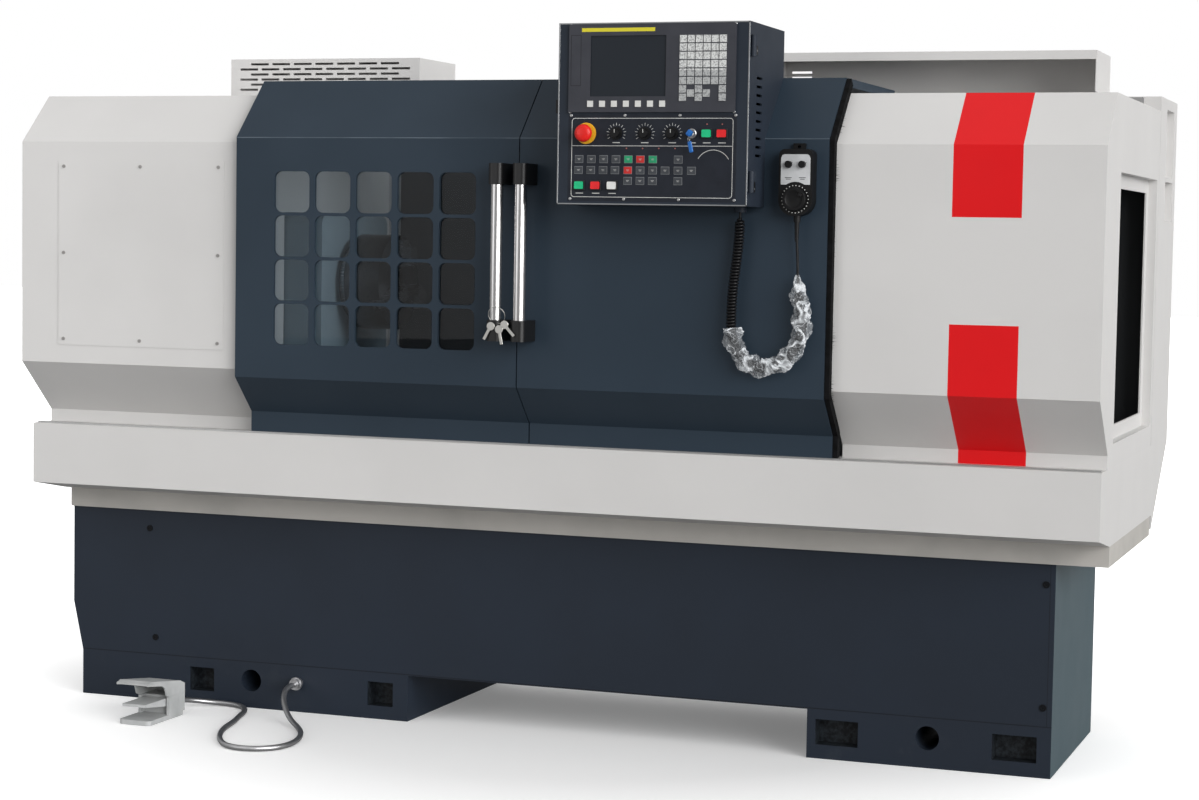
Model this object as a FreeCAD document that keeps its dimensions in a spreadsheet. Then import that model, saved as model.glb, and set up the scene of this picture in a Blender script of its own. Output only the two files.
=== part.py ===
import FreeCAD, Part
import math
import os
import re

import Sketcher
from FreeCAD import Placement, Rotation, Vector

# Flat-bed turning lathe with two sliding doors, a control box, a hand pendant and a foot switch.
# Frame: millimetres, +X towards the tailstock end, -Y towards the operator, +Z up.
# The origin is on the floor, under the middle of the machine's box.
# Places along X are measured from the left end, and along Y from the front face of the chip tray.

SIZES = {
    # whole machine
    "length": 2775,
    "depth": 1460,
    "front_reach": 260,
    # cast base
    "base_setback": 175,
    "base_deep": 618,
    "base_top": 508,
    "base_right_inset": 123,
    "base_left": 16,
    "foot_left": 45,
    "foot_left_long": 958,
    "foot_right_long": 591,
    "foot_rise": 119,
    "flare_top": 250,
    "lift_hole_radius": 29,
    "lift_hole_left_inset": 508,
    "lift_hole_right_inset": 295,
    "lift_hole_rise": 72,
    "toe_pocket_wide": 72,
    "toe_pocket_broad": 106,
    "toe_pocket_tall": 62,
    "toe_pocket_rise": 34,
    "toe_pocket_deep": 46,
    "toe_pocket_first_inset": 326,
    "toe_pocket_second_inset": 114,
    "toe_pocket_third_inset": 21,
    "toe_pocket_fourth_inset": 140,
    # chip tray and its band
    "tray_deep": 899,
    "tray_sheet": 12,
    "band_tall": 49,
    "tray_tall": 184,
    "tray_bevel": 28,
    "tray_ledge": 130,
    "band_setback": 160,
    "band_wall": 30,
    # cabinets, both of one profile
    "cabinet_wide": 631,
    "cover_wide": 622,
    "cabinet_proud": 54,
    "cabinet_skirt_rise": 32,
    "cabinet_low_rise": 164,
    "cabinet_high_rise": 731,
    "cabinet_top_rise": 854,
    "cabinet_back_inset": 53,
    "cabinet_chamfer": 71,
    "cabinet_skirt": 86,
    "cabinet_sheet": 4,
    "deck_margin": 15,
    "deck_lead": 34,
    "panel_left": 109,
    "panel_side_margin": 44,
    "panel_low_margin": 46,
    "panel_high_margin": 47,
    "panel_sheet": 1.5,
    "screw_head": 2,
    "screw_socket": 4,
    "screw_inset": 16,
    "panel_screw_radius": 4.5,
    "panel_screw_socket": 2,
    "base_screw_radius": 8.5,
    "base_screw_left": 248,
    "base_screw_left_low": 267,
    "base_screw_right_inset": 145,
    "base_screw_drop": 50,
    "base_screw_low": 167,
    # sliding doors
    "door_gap": 3,
    "seam_shift": 1,
    "door_thick": 20,
    "door_clear": 5,
    "door_low_rise": 146,
    "door_high_rise": 743,
    "door_top_rise": 890,
    "door_skirt_rise": 55,
    "door_bottom_rise": 4,
    "door_chamfer": 66,
    "door_skirt": 11,
    "door_back": 560,
    "seal_wide": 12,
    "seal_inset": 3,
    "seal_over": 4.6,
    "rail_deep": 25,
    "rail_reach": 40,
    "running_gap": 0.3,
    # window of the left door
    "pane_columns": 5,
    "pane_rows": 4,
    "pane_inset": 109,
    "pane_low_margin": 85,
    "pane_wide": 96,
    "pane_tall": 101,
    "pane_step": 111,
    "pane_rise": 109,
    "pane_radius": 18,
    "glass_border": 10,
    "glass_thick": 6,
    "glass_back": 5,
    # handles
    "handle_radius": 15,
    "handle_rise": 113,
    "handle_tall": 421,
    "handle_left_inset": 32,
    "handle_right_inset": 29,
    "handle_block": 50,
    "handle_block_wide": 36,
    "handle_stand": 60,
    # control box and its hinged panel
    "box_sheet": 4,
    "box_offset": 149,
    "box_wide": 458,
    "box_drop": 159,
    "box_tall": 415,
    "box_deep": 138,
    "louvre_rise": 113,
    "louvre_back": 59,
    "louvre_step": 19.5,
    "louvre_tall": 6,
    "louvre_long": 46,
    "panel_door_thick": 18,
    "hinge_radius": 6,
    "hinge_pin": 2.5,
    "hinge_half": 24,
    "hinge_inset": 55,
    "fit_gap": 0.05,
    "display_wide": 400,
    "display_inset": 27,
    "display_rise": 211,
    "display_tall": 200,
    "display_thick": 6,
    "screen_wide": 182,
    "screen_inset": 53,
    "screen_rise": 36,
    "screen_tall": 138,
    "screen_recess": 3,
    "keypad_step": 18.8,
    "keypad_inset": 268,
    "keypad_low_margin": 25,
    "keypad_rise": 18.8,
    "keypad_key": 16.5,
    "softkey_size": 14,
    "key_lift": 2,
    "softkey_step": 29,
    "softkey_inset": 47,
    "softkey_rise": 12,
    "control_rise": 163,
    "lamp_rise": 44,
    "stop_place": 69,
    "stop_radius": 23,
    "stop_neck": 11,
    "stop_tall": 28,
    "knob_first": 144,
    "knob_second": 213,
    "knob_third": 279,
    "knob_radius": 15,
    "knob_tall": 16,
    "keyswitch_place": 326,
    "keyswitch_radius": 11,
    "green_place": 361,
    "red_place": 397,
    "lamp_green_place": 56,
    "lamp_red_place": 96,
    "lamp_white_place": 136,
    "button_wide": 21,
    "button_tall": 17,
    "button_proud": 9,
    "button_stem": 6,
    "stem_gap": 0.3,
    # hand pendant
    "pendant_wide": 79,
    "pendant_gap": 45,
    "pendant_drop": 19,
    "pendant_tall": 152,
    "pendant_deep": 38,
    "pendant_round": 14,
    "pendant_foot_round": 36,
    "pendant_wheel_radius": 27,
    "pendant_wheel_rise": 38,
    "pendant_wheel_tall": 14,
    "pendant_knob_rise": 117,
    "pendant_knob_spread": 16,
    "pendant_knob_radius": 8,
    "pendant_knob_tall": 10,
    # turning parts
    "bed_place": 200,
    "spindle_rise": 382,
    "spindle_radius": 70,
    "spindle_bore": 41,
    "spindle_tail": 64,
    "nose_radius": 100,
    "nose_thick": 26,
    "chuck_radius": 125,
    "chuck_thick": 100,
    "chuck_bore": 32,
    "jaw_wide": 36,
    "jaw_seat": 22,
    "jaw_out": 44,
    "jaw_clear": 10,
    "jaw_margin": 13,
    "jaw_step": 26,
    "pulley_radius": 105,
    "pulley_wide": 46,
    "pulley_left": 68,
    "motor_rise": 327,
    "motor_radius": 115,
    "motor_long": 430,
    "motor_shaft": 24,
    "belt_thick": 7,
    # headstock and bed
    "headstock_left": 130,
    "headstock_right": 735,
    "head_over": 172,
    "swing_radius": 250,
    "bed_left": 90,
    "bed_right_inset": 155,
    "bed_half": 200,
    "way_wide": 88,
    "way_bevel": 18,
    "bed_web": 60,
    "screw_rod": 20,
    "screw_out": 42,
    "screw_rise": 69,
    "screw_right_inset": 375,
    "screw_left": 760,
    "bracket_wide": 40,
    "bracket_half": 38,
    "servo_half": 65,
    "servo_long": 185,
    # saddle, cross slide and tool post
    "saddle_long": 400,
    "saddle_back": 740,
    "saddle_thick": 70,
    "saddle_over": 12,
    "apron_clear": 176,
    "slide_inset": 95,
    "slide_thick": 50,
    "slide_half": 185,
    "turret_place": 260,
    "turret_radius": 78,
    "turret_half": 95,
    "turret_seat": 70,
    "turret_tall": 104,
    "tool_size": 25,
    "tool_out": 42,
    "tool_long": 110,
    # tailstock
    "tail_long": 290,
    "tail_inset": 535,
    "tail_half": 130,
    "tail_foot": 60,
    "barrel_radius": 72,
    "quill_radius": 38,
    "quill_out": 55,
    "quill_long": 300,
    "centre_radius": 22,
    "centre_long": 48,
    # roof pieces and the cabinet at the back
    "vent_left": 252,
    "vent_wide": 573,
    "vent_deep": 246,
    "vent_tall": 133,
    "vent_row_rise": 46,
    "vent_slot_margin": 28,
    "vent_slot": 55,
    "vent_step": 66,
    "vent_slot_tall": 6,
    "vent_row_step": 14,
    "roof_sheet": 3,
    "hood_front": 631,
    "hood_left_inset": 995,
    "hood_right_inset": 133,
    "hood_over": 8,
    "hood_tall": 102,
    "hood_lip": 22,
    "electric_sheet": 4,
    "electric_wide": 1475,
    "electric_gap": 4,
    "electric_rise": 891,
    "electric_low_drop": 9,
    "electric_heel_drop": 37,
    "electric_door_rise": 49,
    "electric_door_thick": 18,
    "electric_door_inset": 50,
    "electric_door_tall": 800,
    "side_port_deep": 150,
    "side_port_back": 227,
    "side_port_drop": 315,
    "side_port_tall": 288,
    "side_port_bar": 12,
    "side_port_bar_rise": 102,
    "end_window_front": 169,
    "end_window_rear": 32,
    "end_window_rise": 54,
    "end_window_head": 53,
    "end_window_frame": 34,
    # foot switch and its conduit
    "switch_left": 350,
    "switch_wide": 90,
    "switch_front": -155,
    "switch_long": 180,
    "switch_plate": 12,
    "switch_plate_round": 14,
    "switch_lug": 8,
    "switch_joint": 58,
    "switch_gland_place": 50,
    "switch_gland_rise": 14,
    "switch_body_long": 62,
    "pedal_thick": 14,
    "pedal_lip": 7,
    "pedal_long": 108,
    "pedal_side": 12,
    "pedal_rise": 34,
    "pedal_gap": 10,
    "pedal_pin": 4,
    "guard_top": 112,
    "guard_rear_top": 92,
    "guard_edge": 10,
    "guard_lead": 8,
    "guard_slope": 24,
    "guard_wall": 4,
    "conduit_radius": 7,
    "gland_place": 690,
    "gland_rise": 76,
    "gland_radius": 14,
    "gland_long": 25,
    "cord_radius": 11.5,
    "cord_thin": 4,
    "overcut": 1,
    # small seats, corners and reaches
    "side_port_recess": 26,
    "servo_corner": 12,
    "headstock_corner": 24,
    "jaw_travel_in": 6,
    "motor_overlap": 10,
    "belt_margin": 2,
    "slide_lead": 20,
    "turret_corner": 10,
    "tool_clear": 6,
    "centre_point": 0.5,
    "panel_corner": 5,
    "window_sink": 22,
    "hood_skirt": 60,
    "hood_slot_rise": 36,
    "hood_slot_margin": 20,
    "electric_lip": 30,
    "hinge_clear": 0.5,
    "leaf_hinge": 90,
    "leaf_corner": 6,
    "hinge_web": 3,
    "hinge_reach": 1.5,
    "handle_corner": 12,
    "rail_margin": 5,
    "cord_gland_place": 409,
    "cord_stand": 24,
    "cord_gland_long": 12,
    "cord_gland_wall": 3,
    "hinge_leaf": 20,
    "display_corner": 4,
    "stop_crown": 8,
    "stop_rim": 10,
    "stop_taper": 4,
    "stem_reach": 12,
    "knob_skirt": 5,
    "knob_grip": 10.8,
    "key_barrel_tall": 6,
    "key_thick": 3,
    "key_tall": 28,
    "key_half": 10,
    "button_lift": 5.3,
    "button_corner": 2.5,
    "ear_half": 14,
    "ear_thick": 10,
    "ear_hole": 4,
    "ear_hole_rise": 6,
    "pendant_gland_shift": 2,
    "pendant_gland_long": 14,
    "pendant_gland_wall": 4,
    "pendant_stem": 3,
    "wheel_grip_right": 16,
    "wheel_grip_rise": 9,
    "wheel_grip_tall": 12,
    "wheel_grip_radius": 4,
    "guard_step": 5,
    "switch_gland_wall": 3,
    "switch_gland_long": 12,
    "gland_ring_place": 10,
    "gland_ring_wide": 7,
    "gland_ring_step": 3,
    "hub_wall": 4,
}

# Places that follow from the sizes above.
PLACES = {
    "left": "-length/2",
    "right": "length/2",
    "front": "-depth/2 + front_reach",
    "back": "depth/2",
    "base_front": "front + base_setback",
    "base_back": "front + base_setback + base_deep",
    "base_right": "length - base_right_inset",
    "foot_left_end": "foot_left + foot_left_long",
    "foot_right": "base_right - foot_right_long",
    "lift_hole_left": "foot_left + lift_hole_left_inset",
    "lift_hole_right": "base_right - lift_hole_right_inset",
    "toe_pocket_first": "foot_left + toe_pocket_first_inset",
    "toe_pocket_second": "foot_left_end - toe_pocket_second_inset",
    "toe_pocket_third": "foot_right + toe_pocket_third_inset",
    "toe_pocket_fourth": "base_right - toe_pocket_fourth_inset",
    "tray_floor": "base_top + band_tall",
    "tray_lip": "tray_floor + tray_bevel",
    "tray_top": "tray_floor + tray_tall",
    "pan_floor": "tray_floor + tray_sheet",
    "cabinet_back": "tray_deep - cabinet_back_inset",
    "cabinet_skirt_top": "tray_top + cabinet_skirt_rise",
    "cabinet_low": "tray_top + cabinet_low_rise",
    "cabinet_high": "tray_top + cabinet_high_rise",
    "cabinet_top": "tray_top + cabinet_top_rise",
    "panel_wide": "cabinet_wide - panel_left - panel_side_margin",
    "panel_low": "cabinet_low + panel_low_margin",
    "panel_tall": "cabinet_high - panel_high_margin - panel_low",
    "door_start": "cabinet_wide",
    "door_end": "length - cover_wide",
    "door_seam": "(door_start + door_end)/2 - seam_shift",
    "door_proud": "cabinet_proud + door_clear + door_thick",
    "door_bottom": "tray_top + door_bottom_rise",
    "door_skirt_top": "tray_top + door_skirt_rise",
    "door_low": "tray_top + door_low_rise",
    "door_high": "tray_top + door_high_rise",
    "door_top": "tray_top + door_top_rise",
    "door_face": "front - door_proud",
    "door_inner": "front - door_proud + door_thick",
    "seal_reach": "door_thick + seal_over",
    "rail_front": "door_back - rail_reach",
    "pane_left": "door_start + pane_inset",
    "pane_low": "door_low + pane_low_margin",
    "glass_cover": "door_thick - glass_thick - glass_back",
    "handle_left": "door_seam - handle_left_inset",
    "handle_right": "door_seam + handle_right_inset",
    "handle_low": "door_low + handle_rise",
    "handle_high": "handle_low + handle_tall",
    "box_left": "door_seam + box_offset",
    "box_right": "box_left + box_wide",
    "box_x": "left + box_left",
    "box_low": "door_high - box_drop",
    "box_high": "box_low + box_tall",
    "box_front": "door_proud + box_deep",
    "louvre_low": "box_low + louvre_rise",
    "louvre_front": "box_front - louvre_back",
    "panel_face": "front - box_front",
    "panel_back": "front - box_front + panel_door_thick",
    "display_left": "box_left + display_inset",
    "display_low": "box_low + display_rise",
    "screen_left": "display_left + screen_inset",
    "screen_low": "display_low + screen_rise",
    "keypad_left": "display_left + keypad_inset",
    "keypad_low": "display_low + keypad_low_margin",
    "softkey_left": "display_left + softkey_inset",
    "softkey_low": "display_low + softkey_rise",
    "control_row": "box_low + control_rise",
    "lamp_row": "box_low + lamp_rise",
    "pendant_left": "box_right + pendant_gap",
    "pendant_low": "box_low - pendant_drop",
    "pendant_face": "front - door_proud - pendant_deep - running_gap",
    "wheel_x": "left + pendant_left + pendant_wide/2",
    "spindle_height": "tray_top + spindle_rise",
    "spindle_place": "bed_place + bed_half",
    "spindle_y": "front + spindle_place",
    "bed_top": "spindle_height - swing_radius",
    "bed_right": "length - bed_right_inset",
    "headstock_half": "bed_half",
    "headstock_top": "spindle_height + head_over",
    "nose_start": "left + headstock_right + running_gap",
    "chuck_start": "nose_start + nose_thick",
    "chuck_face": "chuck_start + chuck_thick",
    "jaw_inner": "chuck_bore + jaw_clear",
    "jaw_outer": "chuck_radius - jaw_margin",
    "motor_height": "spindle_height + motor_rise",
    "screw_place": "spindle_place - bed_half - screw_out",
    "screw_height": "tray_top + screw_rise",
    "screw_right": "length - screw_right_inset",
    "tail_left": "length - tail_inset",
    "saddle_left": "tail_left - saddle_back",
    "turret_foot": "swing_radius - saddle_thick - slide_thick - turret_seat",
    "turret_x": "left + saddle_left + saddle_long/2",
    "turret_y": "front + turret_place",
    "saddle_low": "bed_top + running_gap",
    "apron_low": "pan_floor + apron_clear",
    "slide_low": "bed_top + saddle_thick + 2*running_gap",
    "post_low": "slide_low + slide_thick",
    "head_low": "post_low + turret_foot + running_gap",
    "vent_right": "vent_left + vent_wide",
    "vent_front": "cabinet_back - vent_deep",
    "vent_top": "cabinet_top + vent_tall",
    "vent_row_low": "cabinet_top + vent_row_rise",
    "deck_right": "vent_right + deck_margin",
    "deck_front": "vent_front - deck_lead",
    "electric_left": "length - electric_wide",
    "electric_front": "cabinet_back + electric_gap",
    "electric_top": "tray_top + electric_rise",
    "electric_low": "tray_top - electric_low_drop",
    "electric_heel": "tray_floor - electric_heel_drop",
    "electric_back": "depth/2 - electric_door_thick - running_gap",
    "electric_door_low": "tray_top + electric_door_rise",
    "side_port_front": "depth - front_reach - side_port_back",
    "side_port_low": "electric_top - side_port_drop",
    "hood_left": "length - hood_left_inset",
    "hood_right": "length - hood_right_inset",
    "hood_back": "electric_front + hood_over",
    "hood_top": "electric_top + hood_tall",
    "end_window_deep": "cabinet_back - end_window_front - end_window_rear",
    "end_window_low": "tray_top + end_window_rise",
    "end_window_tall": "cabinet_high - end_window_low - end_window_head",
    "switch_x": "left + switch_left",
    "switch_y": "front + switch_front",
    "pedal_axis_y": "front + switch_front + switch_long - switch_body_long - pedal_gap",
    "pedal_axis_z": "switch_plate + pedal_rise",
}

doc = FreeCAD.newDocument("TurningLathe")
sheet = doc.addObject("Spreadsheet::Sheet", "Sizes")
for row, (alias, number) in enumerate(SIZES.items(), 1):
    sheet.set(f"A{row}", alias)
    sheet.set(f"B{row}", str(number))
    sheet.setAlias(f"B{row}", alias)
doc.recompute()

TURNS = {
    "x": Rotation(Vector(0, 1, 0), 90),
    "y": Rotation(Vector(1, 0, 0), -90),
    "z": Rotation(),
}
NODES = []


def formula(text):
    """The sheet's own expression for a line of size and place words."""

    def swap(match):
        word = match.group(0)
        if word in PLACES:
            return "(" + formula(PLACES[word]) + ")"
        return "Sizes." + word if word in SIZES else word

    return re.sub(r"[a-z_][a-z_0-9]*", swap, str(text))


def value(text):
    """The number that a line of size and place words comes to."""
    return float(sheet.evalExpression(formula(text)))


def bind(item, name, text):
    item.setExpression(name, formula(text))


def box(name, x, y, z):
    """A block between two places along each axis."""
    item = doc.addObject("Part::Box", name)
    for side, axis, (low, high) in (("Length", "x", x), ("Width", "y", y), ("Height", "z", z)):
        bind(item, side, f"({high}) - ({low})")
        bind(item, "Placement.Base." + axis, low)
    return item


def rod(name, axis, radius, across, ends):
    """A cylinder along an axis; across holds its place on the other two axes, in order."""
    item = doc.addObject("Part::Cylinder", name)
    item.Placement = Placement(Vector(), TURNS[axis])
    bind(item, "Radius", radius)
    bind(item, "Height", f"({ends[1]}) - ({ends[0]})")
    return seat(item, axis, across, ends[0])


def cone(name, axis, radii, across, ends):
    """A cone along an axis, with the radius at its low and its high end."""
    item = doc.addObject("Part::Cone", name)
    item.Placement = Placement(Vector(), TURNS[axis])
    bind(item, "Radius1", radii[0])
    bind(item, "Radius2", radii[1])
    bind(item, "Height", f"({ends[1]}) - ({ends[0]})")
    return seat(item, axis, across, ends[0])


def seat(item, axis, across, low):
    centre = list(across)
    centre.insert("xyz".index(axis), low)
    for letter, text in zip("xyz", centre):
        bind(item, "Placement.Base." + letter, text)
    return item


def prism(name, plane, points, low, high):
    """A padded outline. Points are in the plane's own two axes, straight from one to the next."""
    body = doc.addObject("PartDesign::Body", name)
    sketch = body.newObject("Sketcher::SketchObject", name + "_outline")
    base = [item for item in body.Origin.OriginFeatures if item.Role == plane + "_Plane"][0]
    sketch.AttachmentSupport = [(base, "")]
    sketch.MapMode = "FlatFace"
    # the XZ plane looks towards -Y, so its outline starts at the far end
    bind(sketch, "AttachmentOffset.Base.z", f"-({high})" if plane == "XZ" else low)
    corners = [Vector(value(first), value(second), 0) for first, second in points]
    count = len(corners)
    sketch.addGeometry([Part.LineSegment(corners[i], corners[(i + 1) % count]) for i in range(count)])
    rules = [Sketcher.Constraint("Coincident", i, 2, (i + 1) % count, 1) for i in range(count)]
    texts = {}
    for i, (corner, (first, second)) in enumerate(zip(corners, points)):
        texts[len(rules)] = first
        rules.append(Sketcher.Constraint("DistanceX", -1, 1, i, 1, corner.x))
        texts[len(rules)] = second
        rules.append(Sketcher.Constraint("DistanceY", -1, 1, i, 1, corner.y))
    sketch.addConstraint(rules)
    for rule, text in texts.items():
        bind(sketch, f"Constraints[{rule}]", text)
    pad = body.newObject("PartDesign::Pad", name + "_pad")
    pad.Profile = sketch
    bind(pad, "Length", f"({high}) - ({low})")
    return body


def fuse(name, *items):
    item = doc.addObject("Part::MultiFuse", name)
    item.Shapes = list(items)
    item.Refine = True
    return item


def group(name, *items):
    item = doc.addObject("Part::Compound", name)
    item.Links = list(items)
    return item


def cut(name, base, *tools):
    item = doc.addObject("Part::Cut", name)
    item.Base = base
    item.Tool = tools[0] if len(tools) == 1 else fuse(name + "_tools", *tools)
    return item


def rounded(name, base, axis, radius, pick=None):
    """The edges along one axis rounded, or those of them that pick says."""
    doc.recompute()
    way = {"x": Vector(1, 0, 0), "y": Vector(0, 1, 0), "z": Vector(0, 0, 1)}[axis]
    edges = []
    for number, edge in enumerate(base.Shape.Edges, 1):
        straight = edge.Curve.TypeId == "Part::GeomLine"
        if straight and abs(abs(edge.tangentAt(0).dot(way)) - 1) < 1e-6:
            if pick is None or pick(edge.CenterOfMass):
                edges.append((number, value(radius), value(radius)))
    item = doc.addObject("Part::Fillet", name)
    item.Base = base
    item.Edges = edges
    return item


def turned(name, item, centre, way, angle):
    """A copy of a finished shape, turned about a line."""
    doc.recompute()
    copy = doc.addObject("Part::Feature", name)
    shape = item.Shape.copy()
    shape.rotate(Vector(*[value(text) for text in centre]), Vector(*way), angle)
    copy.Shape = shape
    return copy


def keep(item, label):
    """Marks an object as a piece of the machine, with the label that names its file."""
    item.Label = label
    NODES.append(item)
    return item


def inset(points, distance):
    """The chain of points moved to its right by a distance, corners mitred."""
    moved = []
    for i, point in enumerate(points):
        ways = []
        if i > 0:
            ways.append(point.sub(points[i - 1]).normalize())
        if i < len(points) - 1:
            ways.append(points[i + 1].sub(point).normalize())
        sides = [Vector(way.y, -way.x, 0) for way in ways]
        middle = sides[0].add(sides[-1]).normalize()
        moved.append(point.add(middle * (distance / middle.dot(sides[0]))))
    return moved


def pairs(points):
    return [(point.x, point.y) for point in points]


def chain(*points):
    return [Vector(value(first), value(second), 0) for first, second in points]


# ---------------------------------------------------------------- base, tray and bed


def make_base():
    outline = [
        ("left + base_left", "base_top"),
        ("left + base_left", "flare_top"),
        ("left + foot_left", "foot_rise"),
        ("left + foot_left", "0"),
        ("left + foot_left_end", "0"),
        ("left + foot_left_end", "foot_rise"),
        ("left + foot_right", "foot_rise"),
        ("left + foot_right", "0"),
        ("left + base_right", "0"),
        ("left + base_right", "base_top"),
    ]
    casting = prism("base_casting", "XZ", outline, "base_front", "base_back")
    holes = []
    for side in ("left", "right"):
        across = (f"left + lift_hole_{side}", "lift_hole_rise")
        ends = ("base_front - overcut", "base_back + overcut")
        holes.append(rod(f"lift_hole_{side}", "y", "lift_hole_radius", across, ends))
    for place, wide in (("first", "wide"), ("second", "wide"), ("third", "broad"), ("fourth", "broad")):
        start = f"left + toe_pocket_{place}"
        x = (start, start + f" + toe_pocket_{wide}")
        y = ("base_front - overcut", "base_front + toe_pocket_deep")
        z = ("toe_pocket_rise", "toe_pocket_rise + toe_pocket_tall")
        holes.append(box("toe_pocket_" + place, x, y, z))
    keep(cut("base_cut", casting, *holes), "base")


def make_tray():
    outline = [
        ("front", "tray_top"),
        ("front", "tray_lip"),
        ("front + band_setback", "tray_floor"),
        ("front + tray_deep", "tray_floor"),
        ("front + tray_deep", "tray_top"),
    ]
    pan = prism("tray_pan", "YZ", outline, "left", "right")
    x = ("left + tray_sheet", "right - tray_sheet")
    y = ("front + tray_ledge", "front + tray_deep - tray_sheet")
    trough = box("tray_trough", x, y, ("pan_floor", "tray_top + overcut"))
    keep(cut("tray_cut", pan, trough), "chip_tray")
    y = ("front + band_setback", "front + tray_deep - band_wall")
    rim = box("band_rim", ("left + base_left", "right"), y, ("base_top", "tray_floor"))
    x = ("left + base_left + band_wall", "right - band_wall")
    y = ("front + band_setback + band_wall", "front + tray_deep - 2*band_wall")
    hollow = box("band_hollow", x, y, ("base_top - overcut", "tray_floor - band_wall/2"))
    keep(cut("band_cut", rim, hollow), "tray_band")


def make_bed():
    half = "bed_half"
    outline = [
        (f"spindle_y - {half}", "pan_floor"),
        (f"spindle_y - {half}", "bed_top - way_bevel"),
        (f"spindle_y - {half} + way_bevel", "bed_top"),
        (f"spindle_y - {half} + way_wide", "bed_top"),
        (f"spindle_y - {half} + way_wide", "pan_floor + bed_web"),
        (f"spindle_y + {half} - way_wide", "pan_floor + bed_web"),
        (f"spindle_y + {half} - way_wide", "bed_top"),
        (f"spindle_y + {half} - way_bevel", "bed_top"),
        (f"spindle_y + {half}", "bed_top - way_bevel"),
        (f"spindle_y + {half}", "pan_floor"),
    ]
    casting = prism("bed_casting", "YZ", outline, "left + bed_left", "left + bed_right")
    brackets = []
    for name, start in (("near", "left + screw_left - bracket_wide"), ("far", "left + screw_right")):
        x = (start, start + " + bracket_wide")
        y = ("front + screw_place - bracket_half", f"spindle_y - {half} + overcut")
        z = ("screw_height - bracket_half", "screw_height + bracket_half")
        brackets.append(box("bracket_" + name, x, y, z))
    solid = fuse("bed_solid", casting, *brackets)
    across = ("front + screw_place", "screw_height")
    ends = ("left + screw_left - bracket_wide - overcut", "left + screw_right + bracket_wide + overcut")
    bore = rod("bracket_bore", "x", "screw_rod + fit_gap", across, ends)
    keep(cut("bed_cut", solid, bore), "bed")
    ends = ("left + screw_left - bracket_wide", "left + screw_right + bracket_wide")
    keep(rod("screw_shaft", "x", "screw_rod", across, ends), "z_ball_screw")
    start = "left + screw_right + bracket_wide + running_gap"
    y = ("front + screw_place - servo_half", "front + screw_place + servo_half/2")
    z = ("screw_height - servo_half", "screw_height + servo_half")
    servo = box("servo_block", (start, start + " + servo_long"), y, z)
    keep(rounded("servo_round", servo, "x", "servo_corner"), "z_servo_motor")


# ---------------------------------------------------------------- headstock and spindle


def make_headstock():
    x = ("left + headstock_left", "left + headstock_right")
    y = ("spindle_y - headstock_half", "spindle_y + headstock_half")
    casting = box("headstock_block", x, y, ("bed_top", "headstock_top"))
    middle = value("spindle_height")
    soft = rounded("headstock_round", casting, "x", "headstock_corner", lambda c: c.z > middle)
    across = ("spindle_y", "spindle_height")
    ends = ("left + headstock_left - overcut", "left + headstock_right + overcut")
    bore = rod("headstock_bore", "x", "spindle_radius + fit_gap", across, ends)
    keep(cut("headstock_cut", soft, bore), "headstock")


def make_spindle():
    across = ("spindle_y", "spindle_height")
    shaft = rod("spindle_shaft", "x", "spindle_radius", across, ("left + spindle_tail", "nose_start"))
    nose = rod("spindle_nose", "x", "nose_radius", across, ("nose_start", "chuck_start"))
    ends = ("left + spindle_tail - overcut", "chuck_start + overcut")
    bore = rod("spindle_hole", "x", "spindle_bore", across, ends)
    keep(cut("spindle_cut", fuse("spindle_solid", shaft, nose), bore), "spindle")
    ends = ("left + pulley_left", "left + pulley_left + pulley_wide")
    disc = rod("spindle_pulley_disc", "x", "pulley_radius", across, ends)
    past = (ends[0] + " - overcut", ends[1] + " + overcut")
    bore = rod("spindle_pulley_bore", "x", "spindle_radius + fit_gap", across, past)
    keep(cut("spindle_pulley_cut", disc, bore), "spindle_pulley")


def make_chuck():
    across = ("spindle_y", "spindle_height")
    disc = rod("chuck_disc", "x", "chuck_radius", across, ("chuck_start", "chuck_face"))
    soft_ends = ("chuck_start - overcut", "chuck_face + overcut")
    tools = [rod("chuck_hole", "x", "chuck_bore", across, soft_ends)]
    half = "(jaw_wide/2 + running_gap)"
    z = ("spindle_height + jaw_inner - jaw_travel_in", "spindle_height + chuck_radius + overcut")
    y = (f"spindle_y - {half}", f"spindle_y + {half}")
    slot = box("chuck_slot", ("chuck_face - jaw_seat - running_gap", "chuck_face + overcut"), y, z)
    centre = ("chuck_face", "spindle_y", "spindle_height")
    for number in range(3):
        tools.append(turned(f"chuck_slot_{number}", slot, centre, (1, 0, 0), 120 * number))
    keep(cut("chuck_cut", disc, *tools), "chuck_body")
    y = ("spindle_y - jaw_wide/2", "spindle_y + jaw_wide/2")
    z = ("spindle_height + jaw_inner", "spindle_height + jaw_outer")
    low = box("jaw_low", ("chuck_face - jaw_seat", "chuck_face + jaw_out/2"), y, z)
    z = ("spindle_height + jaw_inner", "spindle_height + jaw_inner + jaw_step*2")
    high = box("jaw_high", ("chuck_face + jaw_out/2 - overcut", "chuck_face + jaw_out"), y, z)
    jaw = fuse("jaw_shape", low, high)
    for number in range(3):
        keep(turned(f"jaw_{number}", jaw, centre, (1, 0, 0), 120 * number), f"chuck_jaw_{number + 1}")


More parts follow.
